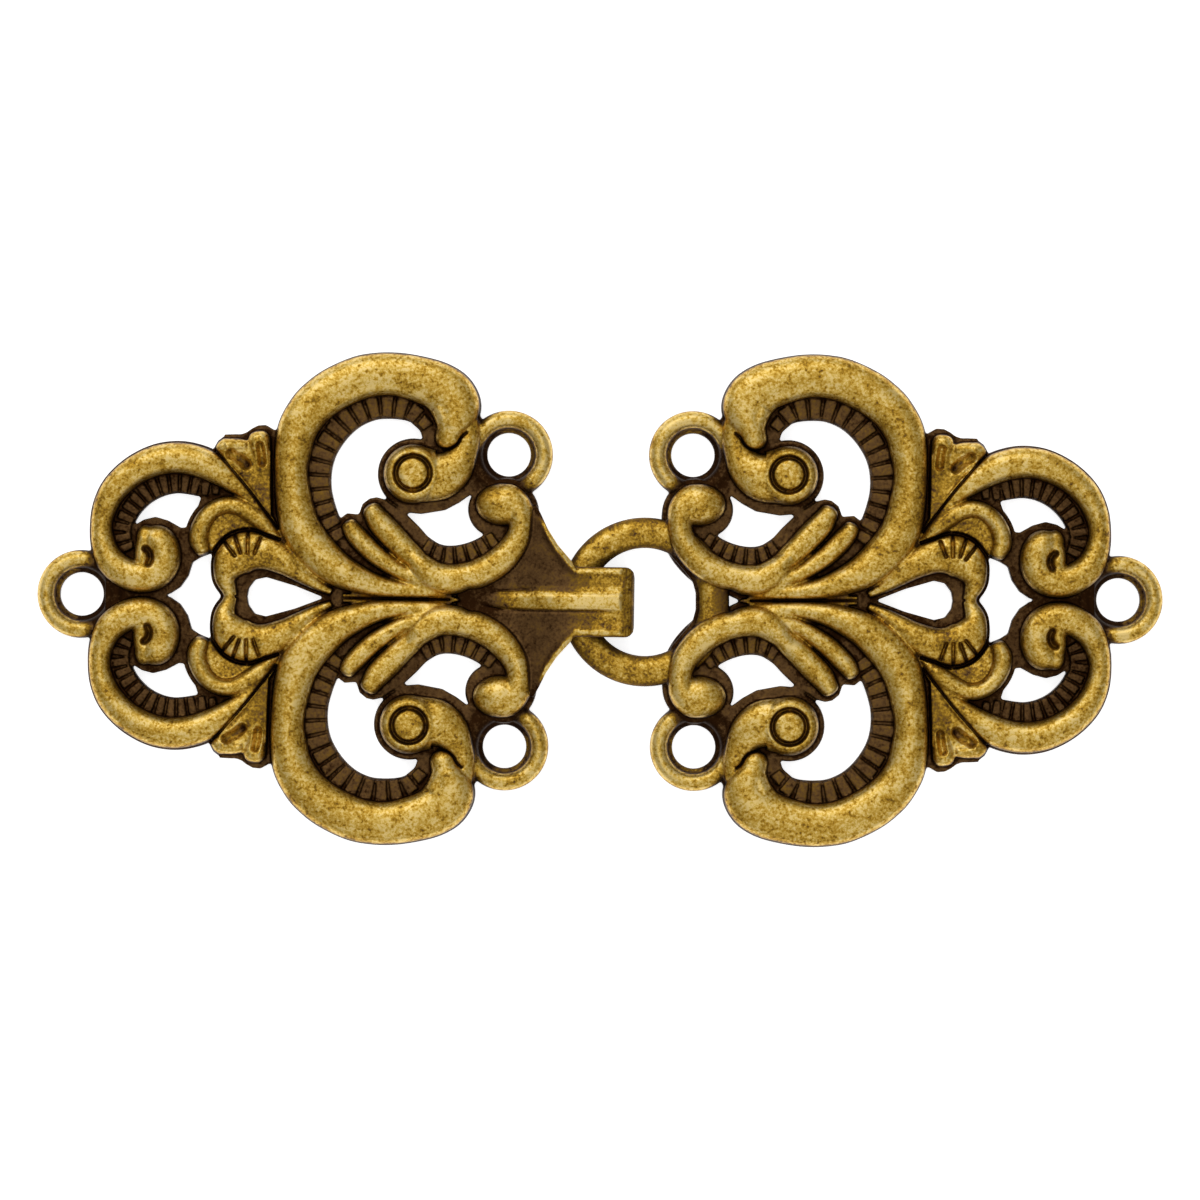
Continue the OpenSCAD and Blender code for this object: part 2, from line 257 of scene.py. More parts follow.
def lathe(section: list[Point], centre: Point, steps: int = 96) -> Shape:
    """Turns a closed section round an upright axis.

    Args:
        section: corners as radius and height, in order round the section.
        centre: where the axis stands, in u and v.
        steps: how many steps the turn has.

    Returns:
        The turned shape, a ring if the section stays clear of the axis.
    """
    n = len(section)
    turn = np.arange(steps) * 2 * math.pi / steps
    # No point lies right on the axis, where faces would collapse.
    r = np.array([max(p[0], 1e-4) for p in section])
    z = np.array([p[1] for p in section])
    u = centre[0] + np.outer(np.cos(turn), r)
    v = centre[1] + np.outer(np.sin(turn), r)
    points = np.stack([u, v, np.broadcast_to(z, u.shape)], -1).reshape(-1, 3)
    faces = []
    for i in range(steps):
        here, there = i * n, (i + 1) % steps * n
        faces += [(here + j, there + j, there + (j + 1) % n, here + (j + 1) % n) for j in range(n)]
    return Shape(points, faces)


def slab(top: np.ndarray, bottom: np.ndarray) -> Shape:
    """Closes two grids of points into one body.

    Args:
        top: rows of points of the upper face, with shape (rows, columns, 3).
        bottom: the matching points of the lower face.

    Returns:
        The closed body.
    """
    rows, columns = top.shape[:2]
    half = rows * columns
    index = np.arange(half).reshape(rows, columns)
    faces = []
    for i in range(rows - 1):
        for j in range(columns - 1):
            a, b, c, d = index[i, j], index[i + 1, j], index[i + 1, j + 1], index[i, j + 1]
            faces += [(a, b, c, d), (d + half, c + half, b + half, a + half)]
    border = list(index[:, 0]) + list(index[-1, 1:]) + list(index[-2::-1, -1]) + list(index[0, -2:0:-1])
    for a, b in zip(border, border[1:] + border[:1]):
        faces.append((b, a, a + half, b + half))
    return Shape(np.concatenate([top.reshape(-1, 3), bottom.reshape(-1, 3)]), faces)


@dataclass(frozen=True)
class Stroke:
    """One cast scroll stroke: stations of distance out, distance up and half width.

    Its foot stands out by foot on each side. Its crest rises to about the height relief where the
    half width is full or more, and stays lower where the stroke is thinner.
    """

    stations: tuple[Station, ...]
    foot: float
    relief: float = RELIEF_HEIGHT
    full: float = 1.7
    blunt_start: bool = False
    blunt_end: bool = False

    def rounded(self) -> list[Station]:
        """The stations with round ends added where the stroke is blunt.

        Returns:
            Stations from one end to the other.
        """
        line = list(self.stations)
        if self.blunt_end:
            line += self.cap(line[-2], line[-1])
        if self.blunt_start:
            line = self.cap(line[1], line[0])[::-1] + line
        return line

    @staticmethod
    def cap(inner: Station, last: Station) -> list[Station]:
        """Stations that round off an end.

        Args:
            inner: the station before the last one.
            last: the station that the round end goes on from.

        Returns:
            The stations beyond the last one.
        """
        run = math.hypot(last[0] - inner[0], last[1] - inner[1])
        du, dv = (last[0] - inner[0]) / run, (last[1] - inner[1]) / run
        w = last[2]
        # The stations stand at these shares of a half circle's radius, and the last is almost a point.
        return [(last[0] + du * w * s, last[1] + dv * w * s, w * math.sqrt(1 - s * s) + 0.02)
                for s in (0.45, 0.75, 0.93, 1.0)]


@dataclass(frozen=True)
class Cut:
    """One engraved line: its points, half width and depth."""

    line: tuple[Point, ...]
    half_width: float
    depth: float


@dataclass(frozen=True)
class Ledge:
    """A low ledge inside a scroll, with ribs across it or none."""

    stations: tuple[Station, ...]
    ribs: int


# The strokes of the quarter above the centreline, in millimetres in the half's own frame.
GREAT_SCROLL = Stroke((
    (11, 11.63, 0.95), (10.85, 12.2, 1.02), (10.65, 12.7, 1.25), (10.48, 13.2, 1.52),
    (10.5, 13.7, 1.74), (10.75, 14.25, 1.82), (11.2, 14.8, 1.8), (12.1, 15.35, 1.7), (13.6, 15.8, 1.6),
    (14.9, 16.02, 1.53), (16.2, 15.98, 1.53), (17.5, 15.7, 1.55), (19.2, 14.9, 1.55),
    (20.35, 14.05, 1.52), (21.05, 13.3, 1.48), (21.75, 12.1, 1.42), (22.05, 10.7, 1.33),
    (22.2, 8.95, 1.2), (22, 7.05, 1.3), (21.6, 5.3, 1.42), (21, 4.15, 1.45), (20.2, 3.2, 1.42),
    (19.1, 2.25, 1.28), (17.9, 1.6, 1.08), (16.1, 0.95, 0.8), (14.35, 0.68, 0.6),
    (12.45, 0.56, 0.45), (11, 0.5, 0.3)), 0.1, full=1.1, blunt_start=True)
NOTCH_FILL = Stroke((
    (11.15, 11.6, 0.65), (11.15, 12.4, 0.7), (11.35, 13.1, 0.72), (11.7, 13.75, 0.7)),
    0.1, full=0.7, relief=3.1, blunt_start=True)
GREAT_NECK = Stroke((
    (10.4, 13.6, 1), (9.9, 12.7, 1), (9.7, 11.7, 0.95), (9.88, 10.65, 0.98), (10.5, 9.55, 1.38),
    (11.5, 8.87, 1.72), (12.5, 8.87, 1.95), (13.3, 8.95, 2.02)), 0.25, relief=3.05)
INNER_SCROLL = Stroke((
    (7.3, 6.9, 1.3), (6.65, 7, 1.35), (6, 6.6, 1.1), (5.74, 5.9, 0.92), (5.74, 5.1, 0.88),
    (6, 4.25, 0.95), (6.65, 3.35, 1.02), (7.6, 2.5, 1.06), (8.8, 1.88, 1.05), (9.6, 1.72, 0.98),
    (10.4, 1.5, 1.08), (11.5, 1.52, 1.1), (12.45, 2.05, 1), (13.3, 2.87, 0.75), (13.9, 3.45, 0.5)),
    0.42, full=0.9, relief=3.1)
SHORT_FINGER = Stroke((
    (12.1, 1.95, 0.5), (13.2, 2.84, 0.8), (14.1, 3.66, 0.88), (15.1, 4.68, 0.93), (15.85, 5.48, 0.88),
    (16.28, 6.12, 0.72)), 0.3, full=0.6, relief=2.8, blunt_end=True)
LONG_FINGER = Stroke((
    (12.3, 1.3, 0.6), (13.75, 1.72, 0.58), (14.6, 2.12, 0.6), (15.35, 2.6, 0.66), (16.2, 3.22, 0.72),
    (17.05, 4.02, 0.74), (17.65, 4.68, 0.7), (17.9, 5.05, 0.6)), 0.3, full=0.6, relief=2.75, blunt_end=True)
TAIL_FILL = Stroke((
    (15.6, 1.65, 0.1), (14.9, 1.42, 0.2), (14.1, 1.16, 0.35), (13.1, 0.95, 0.55), (12.1, 0.85, 0.6),
    (11.1, 0.85, 0.4)), 0.1, full=0.6, relief=2.6)
OUTER_SCROLL = Stroke((
    (22.6, 4.1, 0.12), (23.3, 4.95, 0.25), (24.1, 6, 0.42), (25.2, 7.25, 0.6), (26.5, 8.35, 0.85),
    (28, 9.25, 1.05), (29.3, 9.7, 1.1), (30.6, 9.82, 1.1), (32, 9.55, 1.08), (33.5, 8.78, 1.02),
    (34.75, 7.6, 0.95),
    (35.45, 6.25, 0.85), (35.7, 4.85, 0.76), (35.52, 3.55, 0.86), (35, 2.4, 1.02), (34.1, 1.65, 1.08),
    (33.2, 1.35, 1.15), (32.3, 1.42, 1.2), (31.6, 1.8, 1.22), (31.2, 2.45, 1.18),
    (31.2, 3.15, 1.14), (31.5, 3.8, 1.14), (32, 4.08, 1.0), (32.45, 4.25, 0.75)),
    0.15, full=1.1, blunt_end=True)
ROLL_CORE = Stroke((
    (32.5, 4.1, 0.6), (32.68, 3.4, 0.58), (32.7, 2.6, 0.6), (32.5, 1.9, 0.7)), 0.1, full=0.6, relief=2.95)
CRESCENT = Stroke((
    (22.7, 3.95, 0.12), (23.35, 4.5, 0.33), (24.1, 5.25, 0.62), (24.9, 5.88, 0.72), (25.7, 6.32, 0.66),
    (26.5, 6.52, 0.62), (27.4, 6.33, 0.62), (28.15, 5.72, 0.66), (28.62, 4.85, 0.7), (28.72, 4.0, 0.7),
    (28.5, 3.45, 0.6)), 0.36, full=0.6, relief=2.9, blunt_end=True)
HEART = Stroke((
    (19.2, 0.42, 0.25), (20.3, 1, 0.47), (21.4, 1.77, 0.75), (22.6, 2.6, 1.04),
    (24, 3.2, 1.28), (25.3, 3.22, 1.48), (26.3, 2.55, 1.4), (26.78, 1.4, 0.85), (26.5, 0.4, 0.52),
    (26.4, 0, 0.5)), 0.25, full=1, relief=2.9)
FAN_LEFT = Stroke((
    (23.7, 6.2, 0.15), (24, 8, 0.42), (24.28, 9.6, 0.64), (24.43, 10.5, 0.74), (24.52, 11.12, 0.8)),
    0.3, full=0.9, relief=2.8, blunt_end=True)
FAN_MIDDLE = Stroke((
    (24.1, 7.3, 0.3), (24.7, 8.8, 0.5), (25.15, 10.1, 0.5), (25.4, 10.8, 0.42)), 0.3, full=0.9, relief=2.7)
FAN_RIGHT = Stroke((
    (24, 6.6, 0.2), (24.9, 8.15, 0.42), (25.75, 9.4, 0.6), (26.5, 10.15, 0.72), (26.93, 10.6, 0.7)),
    0.27, full=0.9, relief=2.8, blunt_end=True)
FAN_EDGE = Stroke((
    (25.45, 10.75, 0.42), (26.1, 10.83, 0.46), (26.85, 10.68, 0.6)), 0.33, full=0.6, relief=2.8)
STROKES = (GREAT_SCROLL, NOTCH_FILL, GREAT_NECK, INNER_SCROLL, SHORT_FINGER, LONG_FINGER, TAIL_FILL,
           OUTER_SCROLL, ROLL_CORE, CRESCENT, HEART, FAN_LEFT, FAN_MIDDLE, FAN_RIGHT, FAN_EDGE)

LEDGES = (
    Ledge((
        (12.4, 11.4, 0.45), (12.6, 12.3, 0.55), (13.15, 13.02, 0.68)), 0),
    Ledge((
        (12.75, 12.6, 0.5), (13.3, 13.15, 0.66), (14.1, 13.6, 0.82),
        (15.3, 13.8, 0.92), (16.5, 13.65, 0.9), (17.75, 13.1, 0.9), (18.8, 12.2, 0.9),
        (19.6, 11.05, 0.88), (20.05, 10, 0.88), (20.25, 8.8, 0.88), (20.2, 7.6, 0.88),
        (19.9, 6.4, 0.88), (19.4, 5.3, 0.8), (18.9, 4.5, 0.7)), 16),
    Ledge((
        (14.4, 5.6, 0.65), (13.6, 4.7, 0.75), (12.9, 3.95, 0.75), (12, 3.4, 0.7)), 0),
    Ledge((
        (12.4, 3.62, 0.72), (11.8, 3.33, 0.7), (11, 3.17, 0.7), (10, 3.25, 0.7), (8.9, 3.65, 0.65),
        (7.8, 4.3, 0.6)), 7),
    Ledge(((8.2, 4.1, 0.6), (7.5, 4.5, 0.55), (6.9, 4.9, 0.5)), 0),
    Ledge((
        (27.6, 7.65, 0.45), (28.6, 7.75, 0.65), (29.6, 7.95, 0.7), (30.5, 8, 0.7),
        (31.6, 7.8, 0.75), (32.7, 7.2, 0.75), (33.6, 6.2, 0.7), (34.15, 5.1, 0.7),
        (34.2, 4.1, 0.7), (33.9, 3.4, 0.6)), 14),
)

# Low floors that tie the strokes together: the outline of each in u and v.
NECK_FLOOR = [(9.45, 7.5), (10.2, 6.95), (11.2, 6.4), (12.9, 6.1), (14.1, 6.2), (15.2, 7.3),
              (13, 10.6), (11, 11.4), (10, 10)]
LEAF_FLOOR = [(19.4, 0.3), (22, 4.2), (23.4, 5), (27, 4.4), (27.8, 2.6), (27.7, 1), (27.4, 0.45),
              (27, 0), (25.25, 0), (25.15, 0.6), (24.7, 1.22), (23.9, 1.4), (21.8, 0.8), (20, 0.1)]
SHELL_FLOOR = [(24, 4), (24.4, 5.6), (26.5, 7.8), (28.6, 7.2), (29, 6), (28.3, 3.6), (27.6, 2.8)]
FAN_FLOOR = [(23.2, 4.6), (22.9, 11.8), (23.5, 11.95), (24.1, 12.3), (24.66, 12.25), (25.1, 12.02),
             (25.45, 11.75), (25.8, 11.62), (26.6, 11.55), (27.1, 11.42), (27.5, 11.12), (27.7, 10.75),
             (27.65, 10.4), (26, 8)]
# The sewing loops: where each stands, and the direction of the scrolls from there.
UPPER_LOOP = ((6.68, 10.45), (0.64, -0.77))
END_LOOP = ((37.12, 0.0), (-1.0, 0.0))
# This floor goes round the upper loop's hole, at this distance from its axis.
CORNER_REACH = 2.3
CORNER_FLOOR = [(UPPER_LOOP[0][0] + CORNER_REACH * math.cos(a),
                 UPPER_LOOP[0][1] + CORNER_REACH * math.sin(a))
                for a in np.radians(np.arange(-125, 61, 15))]
CORNER_FLOOR += [(8.7, 12.8), (9.6, 11), (9.9, 8.6), (9.45, 7.5), (7, 7), (5.2, 7.6)]
INNER_STRIP = [(9.9, -0.3), (9.9, 0.9), (19, 0.9), (19.9, 0.1), (19.9, -0.3)]
# This strip between the tails stands higher.
TAIL_STRIP = [(10, -0.05), (10, 0.05), (12, 0.55), (14, 0.7), (16.2, 0.62), (17.4, 0.3), (18.4, 0.03),
              (18.4, -0.3), (12, -0.3)]
OUTER_STRIP = [(31, -0.3), (31, 0.6), (35.4, 2.6), (35.4, -0.3)]
NOTCH_FLOOR = [(11.3, 10.9), (11.3, 13.2), (12.9, 13.7), (13, 12.9), (12.55, 12.1), (12.5, 11.2),
               (12.6, 10.6)]
ROLL_FLOOR = [(33.8, 3.5), (33.45, 4.95), (32.7, 5.4), (31.9, 5.6), (31, 5.35), (30.1, 4.85),
              (28.8, 4.9), (28.4, 2.9), (29.2, 2.4), (29.5, 1.4), (30.05, 0.6), (30.8, 0.1),
              (34, 0.6), (34.3, 3.2)]
FINGER_FLOOR = [(14, 1.5), (13.6, 5.7), (14.3, 6.3), (15.05, 6.75), (15.5, 7.1), (16.1, 7.25), (16.6, 7.15),
                (17.1, 6.75), (17.35, 6.0), (18.2, 6.07), (18.9, 5.5), (19.6, 5.2), (19.6, 3.6), (17, 1.6)]
FLOORS = (NECK_FLOOR, LEAF_FLOOR, SHELL_FLOOR, FAN_FLOOR, CORNER_FLOOR, INNER_STRIP, OUTER_STRIP,
          ROLL_FLOOR, FINGER_FLOOR, NOTCH_FLOOR)
# The shell behind the crescent and the fan's field stand a little higher than the floors.
SHELL_FIELD = [(24, 4.45), (25, 5.5), (26.4, 6.1), (27.6, 5.7), (28.3, 4.8), (28.2, 3.6),
               (27.6, 3.0), (27, 3.7), (26.4, 4.15), (25.7, 4.4), (24.9, 4.45)]
FAN_FIELD = [(23.6, 5.6), (23.7, 10.4), (24.4, 11.2), (25.3, 11), (26.4, 11), (26.9, 10.5),
             (25.5, 8.4), (24.4, 6.8)]
# The fields and the strip with the height of each top.
RAISED_FIELDS = ((SHELL_FIELD, 1.98), (FAN_FIELD, 2.25), (TAIL_STRIP, 1.88))

# The engraved lines of one quarter.
CUTS = (
    # The rays of the shell, and the line along the heart's edge that they start from.
    Cut(((24.3, 4.2), (24.7, 3.1)), 0.17, 0.55),
    Cut(((25.2, 4.55), (25.2, 3.1)), 0.17, 0.55),
    Cut(((26.15, 4.35), (25.7, 3.1)), 0.17, 0.55),
    Cut(((26.95, 3.95), (26.1, 2.9)), 0.17, 0.55),
    Cut(((23, 4.1), (23.9, 4.4), (24.9, 4.75), (25.94, 4.65), (26.8, 4.2), (27.4, 3.5), (27.85, 2.76)),
        0.2, 0.6),
    # The groove round the knob's crown.
    Cut(tuple((13.5 + 1.22 * math.cos(a), 9 + 1.22 * math.sin(a)) for a in np.linspace(0, 2 * math.pi, 25)),
        0.24, 0.8),
    # The line between the great scroll's start and its neck, and the groove inside the outer roll.
    Cut(((9.7, 11.95), (10.05, 11.65), (10.4, 11.1), (10.95, 10.78), (11.6, 10.75), (12.3, 10.95),
         (13, 11.15)), 0.13, 0.6),
    Cut(((32.5, 3.3), (32.2, 3.05), (32.1, 2.6), (32.25, 2.25)), 0.32, 0.6),
    # The two pits between the fan's ribs, and the joint between the great scrolls' tails.
    Cut(((24.28, 9.55), (24.33, 10.2), (24.45, 10.8)), 0.38, 0.5),
    Cut(((25.45, 9.4), (25.95, 9.85), (26.5, 10.15)), 0.48, 0.55),
    Cut(((10.8, 0), (15, 0), (18.6, 0)), 0.12, 0.5),
    # The line between the fan and the outer scroll.
    Cut(((27.75, 10.5), (26.2, 8.8), (25.06, 7.45), (23.95, 6), (23.1, 4.9)), 0.13, 0.5),
)

# Places that the buffing reached less, and a painted shadow, as distance out, distance up, reach and depth.
SHELTERED_AND_SHADED = (
    (24.1, 8.3, 1.5, 0.36), (23.8, 6.4, 1.1, 0.3), (22.4, 2.3, 1.3, 0.14), (24.6, 2.7, 1.1, 0.2),
    # The spot at 26 out and 5.2 up is painted shade: the crescent's shadow on the shell behind it.
    (26, 5.2, 1.0, 0.18), (10, 10.9, 0.9, 0.15), (6.2, 5.6, 0.7, 0.1),
    # The rays of the shell are made brighter instead.
    (24.8, 3.95, 0.25, -0.22), (25.55, 4.0, 0.25, -0.22), (26.2, 3.75, 0.25, -0.22),
)


def ramp(values: np.ndarray, start: float, end: float) -> np.ndarray:
    """A straight rise from none at one value to one at another, and level beyond both.

    Args:
        values: where to read it.
        start: the value at which it is none.
        end: the value at which it is one, which may be the lower of the two.

    Returns:
        The share at each value.
    """
    return np.clip((values - start) / (end - start), 0, 1)


def bell(values: np.ndarray, width: float) -> np.ndarray:
    """A bump of height one at none, which falls off over a width."""
    return np.exp(-(values / width) ** 2)


def rootward(points: np.ndarray, centre: Point, root: Point) -> np.ndarray:
    """How far each point of a sewing loop lies on the side of the scrolls.

    Args:
        points: the points.
        centre: the loop's centre.
        root: the direction of the scrolls.

    Returns:
        None on the open side, one towards the scrolls.
    """
    away = points[:, :2] - np.array(centre)
    turn = away @ np.array(root) / np.maximum(np.linalg.norm(away, axis=1), 1e-6)
    return ramp(turn, 0.15, 0.65)


def smooth_line(line: tuple[Station, ...], steps: int) -> np.ndarray:
    """A smooth curve through stations.

    Args:
        line: the stations.
        steps: steps between two of them.

    Returns:
        The curve's points as rows.
    """
    t = np.array(line, float)
    padded = np.concatenate([t[:1], t, t[-1:]])
    f = (np.arange(steps) / steps)[:, None]
    rows = []
    for a, b, c, d in zip(padded, padded[1:], padded[2:], padded[3:]):
        rows.append(0.5 * (2 * b + (c - a) * f + (2 * a - 5 * b + 4 * c - d) * f ** 2
                           + (3 * b - a - 3 * c + d) * f ** 3))
    return np.concatenate(rows + [t[-1:]])


def set_inputs(modifier: bpy.types.Modifier, values: dict[str, float]) -> None:
    """Sets a Geometry Nodes modifier's inputs by their sockets' identifiers.

    Args:
        modifier: the modifier, with its tree.
        values: the value for each input's name.
    """
    for item in modifier.node_group.interface.items_tree:
        if item.in_out == "INPUT" and item.name in values:
            modifier[item.identifier] = values[item.name]


@dataclass
class ScrollSweep:
    """Sweeps all strokes of a plate with one Geometry Nodes tree, at an even step."""

    step: float
    sides: int = 28
    # The dome starts this far below the foot's top, and its lower half goes down by this much more.
    overlap: float = 0.1
    sink: float = 0.4
    # The foot's round section is stretched upright this many times, and cut off flat.
    square: float = 2.2

    def path_object(self, strokes: tuple[Stroke, ...]) -> bpy.types.Object:
        """Makes one object of open paths that carry their own sizes.

        Args:
            strokes: the strokes of one quarter; their mirror images are added.

        Returns:
            An object with the attributes half, foot, relief and full on its points.
        """
        points: list[tuple[float, float, float]] = []
        edges: list[tuple[int, int]] = []
        sizes: dict[str, list[float]] = {"half": [], "foot": [], "relief": [], "full": []}
        for stroke in strokes:
            line = stroke.rounded()
            for sign in (1, -1):
                edges += [(len(points) + i, len(points) + i + 1) for i in range(len(line) - 1)]
                points += [(u, v * sign, 0) for u, v, _ in line]
                sizes["half"] += [w for _, _, w in line]
                for name in ("foot", "relief", "full"):
                    sizes[name] += [getattr(stroke, name)] * len(line)
        mesh = bpy.data.meshes.new("scroll_paths")
        mesh.from_pydata(points, edges, [])
        for name, values in sizes.items():
            mesh.attributes.new(name, "FLOAT", "POINT").data.foreach_set("value", values)
        return placed("scroll_paths", mesh)

    def tree(self, material: bpy.types.Material) -> bpy.types.NodeTree:
        """Builds the tree that sweeps a dome and its foot along each path.

        Args:
            material: the finish that the sweep gets.

        Returns:
            The tree, with named inputs for its sizes.
        """
        tree = bpy.data.node_groups.new("cast_scrolls", "GeometryNodeTree")
        side = tree.interface
        side.new_socket("Paths", in_out="INPUT", socket_type="NodeSocketGeometry")
        for name in ("Foot Height", "Step"):
            side.new_socket(name, in_out="INPUT", socket_type="NodeSocketFloat")
        side.new_socket("Scrolls", in_out="OUTPUT", socket_type="NodeSocketGeometry")
        given = add_node(tree, "NodeGroupInput").outputs
        position = add_node(tree, "GeometryNodeInputPosition").outputs[0]
        apart = add_node(tree, "ShaderNodeSeparateXYZ", {0: position})
        found = {
            name: add_node(tree, "GeometryNodeInputNamedAttribute", {"Name": name}).outputs["Attribute"]
            for name in ("half", "foot", "relief", "full")}
        found |= {"floor": given["Foot Height"], "z": apart.outputs["Z"]}

        # The heights of both sections, one step of arithmetic a row: its name, its operation and
        # what it takes. The dome is a round tube whose upper half is raised to the crest, and whose
        # lower half sinks a little into the foot. The foot is the same tube, a little wider,
        # squared up between the back and its flat top.
        rows = (
            ("grown", "ADD", "half", "foot"),
            ("rise", "DIVIDE", "z", "half"),
            ("above", "MAXIMUM", "rise", 0.0),
            ("bulge", "POWER", "above", SECTION_POWER),
            ("breadth", "DIVIDE", "half", "full"),
            ("fullness", "SQRT", "breadth"),
            ("span", "SUBTRACT", "relief", "floor"),
            ("crest", "MULTIPLY", "span", "fullness"),
            ("arch", "MULTIPLY", "bulge", "crest"),
            ("below", "MINIMUM", "rise", 0.0),
            ("sunk", "MULTIPLY", "below", self.sink),
            ("section", "ADD", "arch", "sunk"),
            ("seat", "SUBTRACT", "floor", self.overlap),
            ("dome height", "ADD", "section", "seat"),
            ("tilt", "DIVIDE", "z", "grown"),
            ("squared", "MULTIPLY_ADD", "tilt", self.square, 0.5),
            ("foot height", "MULTIPLY", "squared", "floor"),
        )
        for name, operation, *taken in rows:
            values = {i: found[v] if isinstance(v, str) else v for i, v in enumerate(taken)}
            found[name] = add_node(tree, "ShaderNodeMath", values, operation=operation,
                                   use_clamp=name in ("breadth", "squared")).outputs[0]

        curve = add_node(tree, "GeometryNodeMeshToCurve", {"Mesh": given["Paths"]})
        curve = add_node(tree, "GeometryNodeCurveSplineType", {"Curve": curve.outputs[0]},
                         spline_type="CATMULL_ROM")
        curve = add_node(tree, "GeometryNodeResampleCurve",
                         {"Curve": curve.outputs[0], "Length": given["Step"]}, mode="LENGTH")
        curve = add_node(tree, "GeometryNodeSetCurveNormal", {"Curve": curve.outputs[0]}, mode="Z_UP")
        profile = add_node(tree, "GeometryNodeCurvePrimitiveCircle",
                           {"Resolution": self.sides, "Radius": 1.0})
        both = add_node(tree, "GeometryNodeJoinGeometry")
        for width, height in (("half", "dome height"), ("grown", "foot height")):
            tube = add_node(tree, "GeometryNodeCurveToMesh", {
                "Curve": curve.outputs[0], "Profile Curve": profile.outputs[0], "Scale": found[width],
                "Fill Caps": True})
            place = add_node(tree, "ShaderNodeCombineXYZ", {
                0: apart.outputs["X"], 1: apart.outputs["Y"], 2: found[height]})
            shaped = add_node(tree, "GeometryNodeSetPosition", {
                "Geometry": tube.outputs[0], "Position": place.outputs[0]})
            tree.links.new(shaped.outputs[0], both.inputs[0])
        plain = add_node(tree, "GeometryNodeRealizeInstances", {0: both.outputs[0]})
        done = add_node(tree, "GeometryNodeSetMaterial", {0: plain.outputs[0], "Material": material})
        add_node(tree, "NodeGroupOutput", {0: done.outputs[0]})
        return tree

    def build(self, strokes: tuple[Stroke, ...], material: bpy.types.Material) -> Shape:
        """Sweeps the strokes of a quarter and their mirror images.

        Args:
            strokes: the strokes of one quarter.
            material: the finish that the sweep gets.

        Returns:
            Closed domes and feet that run into each other.
        """
        thing = self.path_object(strokes)
        modifier = thing.modifiers.new("scrolls", "NODES")
        modifier.node_group = self.tree(material)
        set_inputs(modifier, {"Foot Height": FOOT_HEIGHT, "Step": self.step})
        return from_mesh(evaluated(thing))


